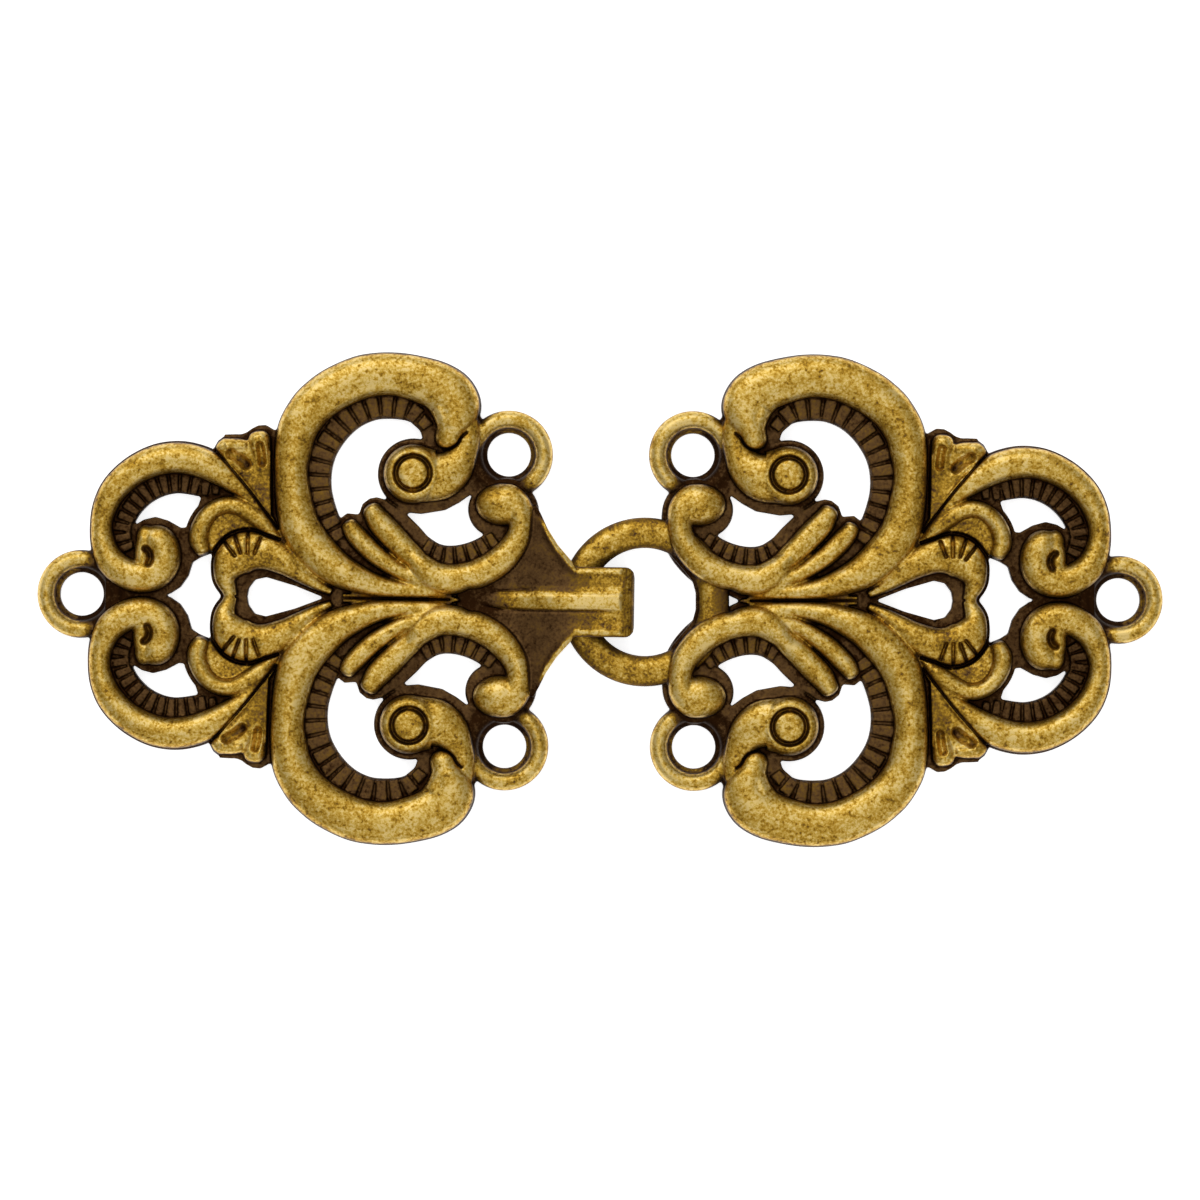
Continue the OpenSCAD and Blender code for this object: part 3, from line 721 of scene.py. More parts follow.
@dataclass
class RibbedLedges:
    """The low ledges inside the scrolls and the blocks that stand across them."""

    groove: float = 0.2
    rib_height: float = 0.26
    inset: float = 0.08
    # The block's top is drawn in to these shares of its thickness and length.
    top_share: float = 0.9
    end_share: float = 0.95
    # The block is thicker at its outer end than at its inner one by this share of its thickness.
    bend: float = 0.32
    floor_steps: int = 6

    def rib_tree(self, material: bpy.types.Material) -> bpy.types.NodeTree:
        """Builds the tree that sets blocks across a ledge at an even pitch.

        Args:
            material: the finish that the blocks get.

        Returns:
            The tree, with named inputs for its sizes.
        """
        tree = bpy.data.node_groups.new("ledge_ribs", "GeometryNodeTree")
        side = tree.interface
        side.new_socket("Ledge", in_out="INPUT", socket_type="NodeSocketGeometry")
        side.new_socket("Ribs", in_out="INPUT", socket_type="NodeSocketInt")
        for name in ("Groove", "Rib Height", "Floor Height"):
            side.new_socket(name, in_out="INPUT", socket_type="NodeSocketFloat")
        side.new_socket("Blocks", in_out="OUTPUT", socket_type="NodeSocketGeometry")
        given = add_node(tree, "NodeGroupInput").outputs
        half = add_node(tree, "GeometryNodeInputNamedAttribute", {"Name": "half"}).outputs["Attribute"]
        curve = add_node(tree, "GeometryNodeMeshToCurve", {"Mesh": given["Ledge"]})
        curve = add_node(tree, "GeometryNodeCurveSplineType", {"Curve": curve.outputs[0]},
                         spline_type="CATMULL_ROM")
        spots = add_node(tree, "GeometryNodeCurveToPoints",
                         {"Curve": curve.outputs[0], "Count": given["Ribs"]}, mode="COUNT")
        length = add_node(tree, "GeometryNodeCurveLength", {0: curve.outputs[0]})
        gaps = add_node(tree, "ShaderNodeMath", {0: given["Ribs"], 1: 1.0}, operation="SUBTRACT")
        pitch = add_node(tree, "ShaderNodeMath", {0: length.outputs[0], 1: gaps.outputs[0]},
                         operation="DIVIDE")
        thick = add_node(tree, "ShaderNodeMath", {0: pitch.outputs[0], 1: given["Groove"]},
                         operation="SUBTRACT")
        broad = add_node(tree, "ShaderNodeMath", {0: half, 1: 2.0, 2: -2 * self.inset},
                         operation="MULTIPLY_ADD")
        size = add_node(tree, "ShaderNodeCombineXYZ",
                        {0: thick.outputs[0], 1: broad.outputs[0], 2: given["Rib Height"]})

        # The block is drawn in at its top, so its sides lean as a casting's do.
        block = add_node(tree, "GeometryNodeMeshCube", {"Size": (1.0, 1.0, 1.0)})
        position = add_node(tree, "GeometryNodeInputPosition").outputs[0]
        apart = add_node(tree, "ShaderNodeSeparateXYZ", {0: position})
        upper = add_node(tree, "FunctionNodeCompare", {0: apart.outputs["Z"], 1: 0.0},
                         operation="GREATER_THAN")
        drawn = add_node(tree, "ShaderNodeVectorMath",
                         {0: position, 1: (self.top_share, self.end_share, 1.0)}, operation="MULTIPLY")
        block = add_node(tree, "GeometryNodeSetPosition", {
            "Geometry": block.outputs["Mesh"], "Selection": upper.outputs[0],
            "Position": drawn.outputs[0]})

        # It is broader on the outside of the ledge's bend, so the grooves are even.
        broader = add_node(tree, "ShaderNodeMath", {0: apart.outputs["Y"], 1: self.bend, 2: 1.0},
                           operation="MULTIPLY_ADD")
        wedge = add_node(tree, "ShaderNodeCombineXYZ", {0: broader.outputs[0], 1: 1.0, 2: 1.0})
        wedged = add_node(tree, "ShaderNodeVectorMath", {0: position, 1: wedge.outputs[0]},
                          operation="MULTIPLY")
        block = add_node(tree, "GeometryNodeSetPosition", {
            "Geometry": block.outputs[0], "Position": wedged.outputs[0]})
        turn = add_node(tree, "FunctionNodeAlignRotationToVector",
                        {"Vector": spots.outputs["Tangent"]}, axis="X", pivot_axis="Z")
        blocks = add_node(tree, "GeometryNodeInstanceOnPoints", {
            "Points": spots.outputs["Points"], "Instance": block.outputs[0],
            "Rotation": turn.outputs[0], "Scale": size.outputs[0]})
        lift = add_node(tree, "ShaderNodeCombineXYZ", {2: given["Floor Height"]})
        plain = add_node(tree, "GeometryNodeRealizeInstances", {0: blocks.outputs[0]})
        raised = add_node(tree, "GeometryNodeSetPosition",
                          {"Geometry": plain.outputs[0], "Offset": lift.outputs[0]})
        done = add_node(tree, "GeometryNodeSetMaterial", {0: raised.outputs[0], "Material": material})
        add_node(tree, "NodeGroupOutput", {0: done.outputs[0]})
        return tree

    def floor(self, line: tuple[Station, ...]) -> Shape:
        """The flat floor under a ledge's ribs.

        Args:
            line: the ledge's stations.

        Returns:
            A closed band as wide as the ledge.
        """
        fine = smooth_line(line, self.floor_steps)
        heading = np.gradient(fine[:, :2], axis=0)
        heading /= np.linalg.norm(heading, axis=1)[:, None]
        across = np.stack([-heading[:, 1], heading[:, 0]], -1) * fine[:, 2:3]
        rows = np.stack([fine[:, :2] + across, fine[:, :2] - across], 1)
        top = np.concatenate([rows, np.full(rows.shape[:2] + (1,), FOOT_HEIGHT)], -1)
        bottom = np.concatenate([rows, np.zeros(rows.shape[:2] + (1,))], -1)
        return slab(top, bottom)

    def build(self, ledges: tuple[Ledge, ...], material: bpy.types.Material) -> list[Shape]:
        """Makes each ledge's floor and its ribs.

        Args:
            ledges: the ledges of one quarter.
            material: the finish of the ribs.

        Returns:
            Floors and blocks that run into the scrolls.
        """
        tree = self.rib_tree(material)
        # Half of each block is buried in its floor.
        sizes = {"Groove": self.groove, "Rib Height": self.rib_height * 2, "Floor Height": FOOT_HEIGHT}
        shapes = []
        for ledge in ledges:
            line = ledge.stations
            shapes.append(self.floor(line))
            if not ledge.ribs:
                continue
            mesh = bpy.data.meshes.new("ledge_path")
            edges = [(i, i + 1) for i in range(len(line) - 1)]
            mesh.from_pydata([(u, v, 0) for u, v, _ in line], edges, [])
            mesh.attributes.new("half", "FLOAT", "POINT").data.foreach_set("value", [w for _, _, w in line])
            thing = placed("ledge_path", mesh)
            modifier = thing.modifiers.new("ribs", "NODES")
            modifier.node_group = tree
            set_inputs(modifier, {"Ribs": ledge.ribs, **sizes})
            shapes.append(from_mesh(evaluated(thing)))
        return shapes


@dataclass
class ScrollPlate:
    """The pierced plate that both halves share, with its knobs, beads and sewing loops."""

    step: float
    knob_centre: Point = (13.5, 8.95)
    knob_foot: float = 2.55
    knob_section: tuple[Point, ...] = (
        (0, 0.5), (2.1, 0.5), (2.12, 1.3), (2.1, 2), (2.02, 2.45), (1.88, 2.78), (1.65, 2.98),
        (1.3, 3.06), (0.6, 3.08), (0, 3.09))
    bead_centre: Point = (7.05, 6.87)
    bead_radius: float = 1.5
    bead_rise: float = 1.85
    bead_power: float = 0.6
    bead_stretch: float = 0.3
    bead_foot_centre: Point = (7.6, 6.5)
    bead_foot: float = 1.95
    foot_shoulder: float = 1.1
    foot_bevel: float = 0.12
    loop_hole: float = 1.55
    loop_outer: float = 3.15
    loop_height: float = 1.9
    loop_crest_half: float = 0.63
    loop_crest_base: float = 1.0
    loop_crest_power: float = 0.8
    loop_sink: float = 0.25
    # Fields and strips stand on the floors from this height.
    field_base: float = 0.9

    def pad(self, radius: float, centre: Point) -> Shape:
        """The round foot under a knob or a bead.

        Args:
            radius: its radius.
            centre: where it stands.

        Returns:
            A disc with a bevelled top edge.
        """
        section = [(0, 0), (radius, 0), (radius, self.foot_shoulder),
                   (radius - self.foot_bevel, FOOT_HEIGHT), (0, FOOT_HEIGHT)]
        return lathe(section, centre)

    def knob(self) -> list[Shape]:
        """The rolled end of the great scroll.

        Returns:
            Its head and its foot.
        """
        return [lathe(list(self.knob_section), self.knob_centre),
                self.pad(self.knob_foot, self.knob_centre)]

    def bead(self) -> list[Shape]:
        """The round end of the inner scroll.

        Returns:
            Its dome, drawn out to an oval, and its foot.
        """
        start = FOOT_HEIGHT - 0.1
        dome = [(self.bead_radius * math.cos(a), start + self.bead_rise * math.sin(a) ** self.bead_power)
                for a in np.linspace(0, math.pi / 2, 14)]
        blob = lathe([(0, 0.5), (self.bead_radius, 0.5)] + dome, self.bead_centre)
        blob.points[:, 0] += (blob.points[:, 0] - self.bead_centre[0]) * self.bead_stretch
        return [blob, self.pad(self.bead_foot, self.bead_foot_centre)]

    def loop(self, centre: Point, root: Point) -> Shape:
        """One sewing loop, a ring with a round crest that sinks towards the scrolls.

        Args:
            centre: where the hole's axis stands.
            root: the direction of the scrolls.

        Returns:
            The ring, with its hole open.
        """
        hole, outer, half = self.loop_hole, self.loop_outer, self.loop_crest_half
        rise = self.loop_height - self.loop_crest_base
        crest = [(outer - half + half * math.cos(a),
                  self.loop_crest_base + rise * max(math.sin(a), 0.0) ** self.loop_crest_power)
                 for a in np.linspace(0, math.pi, 15)]
        section = [(hole, 0), (outer - 0.12, 0), (outer, 0.2)] + crest + [(hole + 0.15, 0.9), (hole, 0.75)]
        ring = lathe(section, centre, 128)
        ring.points[:, 2] *= 1 - self.loop_sink * rootward(ring.points, centre, root)
        return ring

    def build(self, material: bpy.types.Material) -> list[Shape]:
        """Makes every shape of the plate, on both sides of the centreline.

        Args:
            material: the finish of the parts that nodes make.

        Returns:
            Closed shapes that run into each other.
        """
        quarter = self.knob() + self.bead() + [self.loop(*UPPER_LOOP)]
        quarter += [prism(outline, 0, FOOT_HEIGHT) for outline in FLOORS]
        quarter += [prism(outline, self.field_base, top) for outline, top in RAISED_FIELDS]
        quarter += RibbedLedges().build(LEDGES, material)
        scrolls = ScrollSweep(self.step).build(STROKES, material)
        return [scrolls, self.loop(*END_LOOP)] + quarter + [s.mirrored() for s in quarter]


@dataclass
class FoldedHook:
    """The web, the strap that it runs out to, and the strap's fold round the ring.

    The tables give a value at each distance out, in millimetres.
    """

    reach: float = 2.45
    half_width: float = 2.5
    thickness: float = 0.8
    bend: float = 0.9
    inner_bend: float = 0.3
    corner: float = 0.6
    rim_height: float = 0.25
    rim_inset: float = 0.34
    rim_width: float = 0.22
    rib_height: float = 0.3
    crease: float = 0.22
    crease_width: float = 0.09
    # Where the creases run, above and below the rib's sides.
    upper_crease: float = 0.3
    lower_crease: float = 0.17
    # In each of these pairs a feature is gone at the first distance and whole at the second.
    rim_far_end: Point = (4.9, 3.9)
    rim_corner: Point = (5.9, 4.7)
    rib_far_end: Point = (8.8, 6.4)
    slope_across: Point = (1.15, 0.65)
    slope_far_end: Point = (6.5, 4.5)
    upper_crease_start: Point = (4.4, 5.4)
    lower_crease_start: Point = (-1.2, -0.2)
    lower_crease_end: Point = (8.8, 7.6)
    fold_start: Point = (-1.7, -1.4)
    # The rib is a crest with soft sides, and a broad low slope beside it.
    crest_share: float = 0.72
    slope_share: float = 0.28
    crest_softness: float = 0.07
    rib_half: tuple[Point, ...] = ((-2.5, 0.56), (5.5, 0.54), (7, 0.46), (8, 0.34), (8.8, 0.1))
    web_edge: tuple[Point, ...] = (
        (1.2, 2.5), (1.75, 2.5), (2.3, 3.15), (3.05, 4), (3.8, 5.15), (4.3, 6.2), (4.7, 6.95),
        (5.0, 6.6), (5.4, 6.0), (5.9, 4.7), (6.65, 3.5), (7.6, 2.6), (8.8, 1.9), (10.2, 0.9))
    web_top: tuple[Point, ...] = (
        (1.2, 3.14), (2.0, 3.14), (2.7, 3.08), (3.4, 2.93), (4.2, 2.65), (5, 2.32), (6, 2.0), (8, 1.75),
        (10.2, 1.65))
    web_under: tuple[Point, ...] = (
        (1.2, 2.34), (2.2, 2.3), (3.2, 2.0), (4.2, 1.5), (5, 0.5), (5.4, 0), (10.2, 0))
    web_step: float = 0.09
    web_columns: int = 161
    strap_start: float = 1.6
    strap_step: float = 0.06
    strap_columns: int = 101
    return_end: float = 2.7
    # How much patina and painted shade each place keeps, how much painted highlight the slope above the rib
    # gets, how far the creases' darkening spreads, and how much the rubbing takes off the rib and the rims.
    painted_sheen: float = 0.16
    crease_patina_and_shadow: float = 1.2
    crease_dark_width: float = 0.13
    end_patina_and_shade: float = 0.6
    side_patina: float = 0.9
    rub: float = 0.26

    @staticmethod
    def table(rows: tuple[Point, ...], u: np.ndarray) -> np.ndarray:
        """Reads a table of this hook at distances out."""
        return np.interp(u, *np.array(rows).T)

    def relief(self, u: np.ndarray, v: np.ndarray, edge: np.ndarray) -> np.ndarray:
        """Height of the rims and the rib above the strap's face.

        Args:
            u: distance out of each point.
            v: distance across of each point.
            edge: the half width of the strap or web there.

        Returns:
            The height to add.
        """
        across = np.abs(v)
        # The web's edge runs aslant, so its rim is broader when measured across.
        inward = (edge - across) * np.interp(u, (1.2, 2.3), (0.9, 0.6))
        rim = bell(inward - self.rim_inset, self.rim_width) * ramp(u, *self.rim_far_end)
        rim *= ramp(across, *self.rim_corner)
        fade = ramp(u, *self.rib_far_end)
        crown = self.table(self.rib_half, u)
        crest = 1 / (1 + np.exp((across - crown) / self.crest_softness))
        slope = ramp(across, *self.slope_across) * ramp(u, *self.slope_far_end)
        rib = (self.crest_share * crest + self.slope_share * slope) * fade
        # A fine crease runs along each side of the rib.
        upper = bell(v - crown - self.upper_crease, self.crease_width) * fade
        upper *= ramp(u, *self.upper_crease_start)
        lower = bell(v + crown + self.lower_crease, self.crease_width)
        lower *= ramp(u, *self.lower_crease_start) * ramp(u, *self.lower_crease_end)
        front = ramp(u, *self.fold_start)
        return (rim * self.rim_height + rib * self.rib_height - self.crease * (upper + lower)) * front

    def web(self) -> Shape:
        """The web that climbs from the scrolls to the strap.

        Returns:
            A closed body between the web's face and its underside.
        """
        u = np.arange(self.web_edge[0][0], self.web_edge[-1][0] + 0.01, self.web_step)
        edge = self.table(self.web_edge, u)
        share = np.linspace(-1, 1, self.web_columns)
        uu = np.repeat(u[:, None], len(share), 1)
        ee = np.repeat(edge[:, None], len(share), 1)
        vv = ee * share[None, :]
        high = self.table(self.web_top, uu) + self.relief(uu, vv, ee)
        low = self.table(self.web_under, uu)
        return slab(np.stack([uu, vv, high], -1), np.stack([uu, vv, low], -1))

    def strap(self) -> Shape:
        """The strap, folded down and back under itself.

        Returns:
            A closed body, with its rims and its rib on the upper face.
        """
        r, tip = self.bend, -self.reach + self.bend
        turn = np.radians(np.arange(0, 91, 7.5))
        run = np.arange(self.strap_start, tip, -self.strap_step)
        back = np.linspace(tip, self.return_end, 40)
        # The outside of the fold: distance out, height, and the direction that faces out of it.
        outer = [(u, TOP_Z, 0.0, 1.0) for u in run]
        outer += [(tip - r * math.sin(a), TOP_Z - r + r * math.cos(a), -math.sin(a), math.cos(a))
                  for a in turn]
        outer += [(tip - r * math.cos(a), r - r * math.sin(a), -math.cos(a), -math.sin(a)) for a in turn]
        outer += [(u, 0.0, 0.0, -1.0) for u in back[1:]]
        path = np.array(outer)
        share = np.linspace(-1, 1, self.strap_columns)
        into = np.clip(-self.reach + self.corner - path[:, 0], 0, self.corner)
        narrow = self.corner - np.sqrt(np.maximum(self.corner ** 2 - into ** 2, 0))
        edge = self.half_width - narrow
        vv = edge[:, None] * share[None, :]
        uu = np.repeat(path[:, :1], len(share), 1)
        zz = np.repeat(path[:, 1:2], len(share), 1)
        upper = np.clip(path[:, 3], 0, 1)[:, None]
        lift = self.relief(uu, vv, np.repeat(edge[:, None], len(share), 1)) * upper
        top = np.stack([uu + path[:, 2:3] * lift, vv, zz + path[:, 3:4] * lift], -1)
        inner = np.array([self.inner_point(p) for p in path])
        bottom = np.stack([np.repeat(inner[:, :1], len(share), 1), vv,
                           np.repeat(inner[:, 1:2], len(share), 1)], -1)
        return slab(top, bottom)

    def inner_point(self, station: np.ndarray) -> tuple[float, float]:
        """The point inside the fold that faces a point on its outside.

        Args:
            station: the outer point as u, z and its normal.

        Returns:
            The inner point's u and z.
        """
        u, z, nu, nz = station
        t, radius = self.thickness, self.inner_bend
        wall = -self.reach + t
        if u > -self.reach + self.bend - 1e-6:
            return (max(u, wall + radius), z - nz * t)
        low = t + radius if nz < 0 else TOP_Z - t - radius
        return (wall + radius + nu * radius, low + nz * radius)

    def field(self, points: np.ndarray) -> np.ndarray:
        """Where the sunken field between rib and rims keeps its patina, and where shade and a highlight are
        painted on.

        Args:
            points: the casting's points.

        Returns:
            About one on the field, more in the creases, less on the slope with the painted highlight, and
            below none where it is rubbed bright.
        """
        u, v, z = points.T
        across = np.abs(v)
        edge = self.table(self.web_edge, u)
        face = self.table(self.web_top, u)
        crown = self.table(self.rib_half, u)
        on_face = ramp(np.abs(z - face - 0.08), 0.42, 0.27)
        inside = ramp(edge - across, 0.4, 0.6) * ramp(across - crown, 0.05, 0.2)
        sunken = on_face * inside * np.interp(u, (-1.6, 0.6, 2.6), (0.2, 0.5, 1)) * (u > -1.8)
        # Painted highlight: the slope above the rib is lightened to grey where it faces the light, and the
        # rib's far end stays brown.
        sunken -= self.painted_sheen * on_face * (v > 0.6) * (v < 1.1) * (u < 7.5)
        sunken = np.maximum(sunken, on_face * (across < crown + 0.1) * ramp(u, 5.6, 7.8))
        # The creases along the rib hold the blackest of it: patina, and below the rib also a painted shadow
        # of the rib.
        upper = bell(v - crown - self.upper_crease, self.crease_dark_width)
        lower = bell(v + crown + self.lower_crease, self.crease_dark_width)
        crease = upper * np.interp(u, (4.2, 5.4, 7.4, 8.6), (0, 1, 1, 0))
        crease += lower * np.interp(u, (-1.2, 1.5, 6, 7.5), (0, 1, 1, 0))
        sunken = np.maximum(sunken, self.crease_patina_and_shadow * on_face * crease)
        # Painted shade: the web's corners beside the beads are darkened where the beads shade them.
        corners = ramp(across, 5.3, 5.9) * (across < 7.2) * (u < 4.95) * (z < 2.75)
        sunken = np.maximum(sunken, corners)
        # The fold's end is darkened by patina, and by painted shade where it bends down out of the light.
        end_wall = np.minimum(ramp(u, -1.5, -1.75), self.end_patina_and_shade)
        side_wall = np.minimum(ramp(across - edge, -0.16, -0.06), self.side_patina) * (z > 1.6) * (u < 2)
        rib = ramp(across - crown, 0.05, -0.05) * np.interp(u, (-1.5, 0.5, 3, 6), (1.4, 1, 0.2, 0))
        # Far out on the web the rims are darkened with painted shade, not brightened.
        rims = ramp(edge - across, 0.5, 0.4) * (side_wall <= 0) * np.clip((5.4 - across) / 0.6, -1.5, 1)
        rubbed = on_face * (rib + rims) * (u < 6)
        return np.maximum(sunken * (u < 10.2), np.maximum(end_wall, side_wall)) - self.rub * rubbed

    def build(self) -> list[Shape]:
        """All shapes of the hook."""
        return [self.web(), self.strap()]


@dataclass
class EyeRing:
    """The ring of wire that the hook holds, and the floor that ties it to the scrolls."""

    centre: Point = (3.2, -0.06)
    bore: float = 3.85
    wire_width: float = 2.2
    wire_thickness: float = 1.3
    wire_z: float = 0.92
    wire_sides: int = 32
    ring_steps: int = 160
    floor_top: float = 1.7
    floor_side: tuple[Point, ...] = (
        (6.85, 0), (6.85, 0.6), (6.65, 1.35), (6.2, 1.95), (5, 3.35), (6.5, 3.2), (8.7, 1.3),
        (9, 0.5), (9, 0))
    # The patina at each distance out along the bar that ties the ring to the scrolls.
    bar_patina: tuple[Point, ...] = (
        (6.5, 0), (6.9, 0.65), (7.25, 0.65), (7.45, 0.25), (7.9, 0.3), (8.1, 0.75), (9, 0.9), (9.6, 0))
    bar_side_patina: float = 0.6
    # The wire is browner than the scrolls all over, and most at its sides, where patina and painted shade
    # of the round wire's flanks both darken it.
    wire_patina: float = 0.35
    wire_side_patina_and_shade: float = 0.45

    def field(self, points: np.ndarray) -> np.ndarray:
        """Where the bar of the ring lies deep between the scrolls and keeps its patina, and the wire's
        patina with painted shade on its sides.

        Args:
            points: the casting's points.

        Returns:
            Between none and one.
        """
        u, v, z = points.T
        across = np.abs(v)
        low = z < 2.35
        bar = np.interp(u, *np.array(self.bar_patina).T)
        bar = np.maximum(bar, self.bar_side_patina * ramp(across, 0.8, 1.3) * (u > 6.9) * (u < 9.6))
        bar *= ramp(across, 2.3, 1.8) * low
        reach = np.hypot(u - self.centre[0], v - self.centre[1])
        off_crest = np.abs(reach - self.bore - self.wire_width / 2)
        wire = self.wire_patina + self.wire_side_patina_and_shade * ramp(off_crest, 0.55, 1.05)
        return np.maximum(bar, wire * (reach < self.bore + self.wire_width + 0.1) * low * (u < 6.9))

    def build(self) -> list[Shape]:
        """The ring and its floor.

        Returns:
            Closed shapes that run into the plate.
        """
        middle = self.bore + self.wire_width / 2
        section = [(middle + math.cos(a) * self.wire_width / 2,
                    self.wire_z + self.wire_thickness / 2 + math.sin(a) * self.wire_thickness / 2)
                   for a in np.arange(self.wire_sides) * 2 * math.pi / self.wire_sides]
        floor = prism(list(self.floor_side), 0, self.floor_top)
        return [lathe(section, self.centre, self.ring_steps), floor, floor.mirrored()]


@dataclass(frozen=True)
class Grain:
    """One grade of grain: its size in millimetres, its noise, and how far it swings the finish."""

    size_mm: float
    detail: float
    roughness: float
    strength: float


@dataclass(frozen=True)
class AntiqueBrass:
    """Cast brass, blackened in a bath and then buffed."""

    # To the eye the crests are a warm gold with a broad, soft gloss, and the hollows an even matt
    # brown. Between them lies a salt and pepper grain, where the wheel took the brown off unevenly.
    rubbed: str = "dcc07a"
    bright: str = "d0b05a"
    body: str = "b48b2e"
    worn: str = "80601f"
    patina: str = "64492b"
    pit: str = "2e1a0a"
    patch: Grain = Grain(2.2, 2.0, 0.5, 0.45)
    mottle: Grain = Grain(0.5, 5.0, 0.65, 1.25)
    speckle: Grain = Grain(0.1, 3.0, 0.6, 1.35)
    # Small flecks where the buffing left the brown in.
    fleck: Grain = Grain(0.15, 2.0, 0.5, 0.24)
    polished: float = 0.42
    dull: float = 0.55
    bump_strength: float = 0.35
    bump_mm: float = 0.03

    def material(self, name: str) -> bpy.types.Material:
        """Builds the finish.

        Args:
            name: the material's name.

        Returns:
            The material, which reads the casting's own attribute exposure.
        """
        finish = bpy.data.materials.new(name)
        finish.use_nodes = True
        tree = finish.node_tree
        tree.nodes.clear()
        place = add_node(tree, "ShaderNodeTexCoord").outputs["Object"]
        # This attribute holds the buffing's wear together with painted shade and highlights.
        exposure_and_shade = add_node(tree, "ShaderNodeAttribute", attribute_name="exposure_and_shade").outputs["Fac"]
        noise = {grain: add_node(tree, "ShaderNodeTexNoise", {
            "Vector": place, "Scale": 1 / (grain.size_mm * MM * 2), "Detail": grain.detail,
            "Roughness": grain.roughness}).outputs["Fac"]
            for grain in (self.patch, self.mottle, self.speckle, self.fleck)}
        # The hollows are evenly brown, the crests are mottled.
        swing = add_node(tree, "ShaderNodeMapRange", {
            "Value": exposure_and_shade, "From Min": 0.2, "From Max": 0.6, "To Min": 0.3, "To Max": 1.0})
        level = exposure_and_shade
        for grain in (self.patch, self.mottle, self.speckle):
            centred = add_node(tree, "ShaderNodeMath", {
                0: noise[grain], 1: grain.strength, 2: -0.5 * grain.strength}, operation="MULTIPLY_ADD")
            level = add_node(tree, "ShaderNodeMath",
                             {0: centred.outputs[0], 1: swing.outputs["Result"], 2: level},
                             operation="MULTIPLY_ADD").outputs[0]
        left = add_node(tree, "ShaderNodeMapRange", {
            "Value": noise[self.fleck], "From Min": 0.33, "From Max": 0.45,
            "To Min": self.fleck.strength, "To Max": 0.0})
        missed = add_node(tree, "ShaderNodeMath", {0: left.outputs["Result"], 1: swing.outputs["Result"]},
                          operation="MULTIPLY")
        level = add_node(tree, "ShaderNodeMath", {0: level, 1: missed.outputs[0]},
                         operation="SUBTRACT").outputs[0]
        ramp_node = add_node(tree, "ShaderNodeValToRGB", {"Fac": level})
        colours = ramp_node.color_ramp.elements
        colours.remove(colours[1])
        colours[0].position = 0.0
        colours[0].color = srgb(self.pit)
        for spot, code in ((0.2, self.patina), (0.42, self.worn), (0.66, self.body), (0.9, self.bright),
                           (1.0, self.rubbed)):
            colours.new(spot).color = srgb(code)
        rough = add_node(tree, "ShaderNodeMapRange", {
            "Value": level, "From Min": 0.2, "From Max": 0.9, "To Min": self.dull, "To Max": self.polished})
        bump = add_node(tree, "ShaderNodeBump", {
            "Height": noise[self.speckle], "Strength": self.bump_strength, "Distance": self.bump_mm * MM})
        shader = add_node(tree, "ShaderNodeBsdfPrincipled", {
            "Base Color": ramp_node.outputs["Color"], "Roughness": rough.outputs["Result"],
            "Metallic": 1.0, "Normal": bump.outputs["Normal"]})
        add_node(tree, "ShaderNodeOutputMaterial", {"Surface": shader.outputs[0]})
        return finish


def shelter_map(points: np.ndarray, cell: float, reach: float) -> tuple[np.ndarray, np.ndarray, Point]:
    """Rasters of a casting's face: its height, and the highest crest near each place.

    Args:
        points: the casting's points in millimetres.
        cell: size of a raster cell.
        reach: how far a crest counts as near.

    Returns:
        The height raster, the raster of near crests, and the corner where both start.
    """
    border = 2
    low = points[:, :2].min(0) - border
    shape = np.ceil((points[:, :2].max(0) + border - low) / cell).astype(int)
    spots = ((points[:, :2] - low) / cell).astype(int)
    height = np.zeros(shape)
    np.maximum.at(height, (spots[:, 0], spots[:, 1]), points[:, 2])
    crest = height.copy()
    steps = int(round(reach / cell))
    for du in range(-steps, steps + 1):
        for dv in range(-steps, steps + 1):
            if du * du + dv * dv <= steps * steps:
                crest = np.maximum(crest, np.roll(height, (du, dv), (0, 1)))
    return height, crest, (low[0], low[1])


def blurred(raster: np.ndarray, radius: int, passes: int = 2) -> np.ndarray:
    """A soft copy of a raster.

    Args:
        raster: the values.
        radius: half the box's width in cells.
        passes: how many times the box runs.

    Returns:
        The blurred values.
    """
    result = raster
    for _ in range(passes):
        for axis in (0, 1):
            result = sum(np.roll(result, k, axis) for k in range(-radius, radius + 1)) / (2 * radius + 1)
    return result


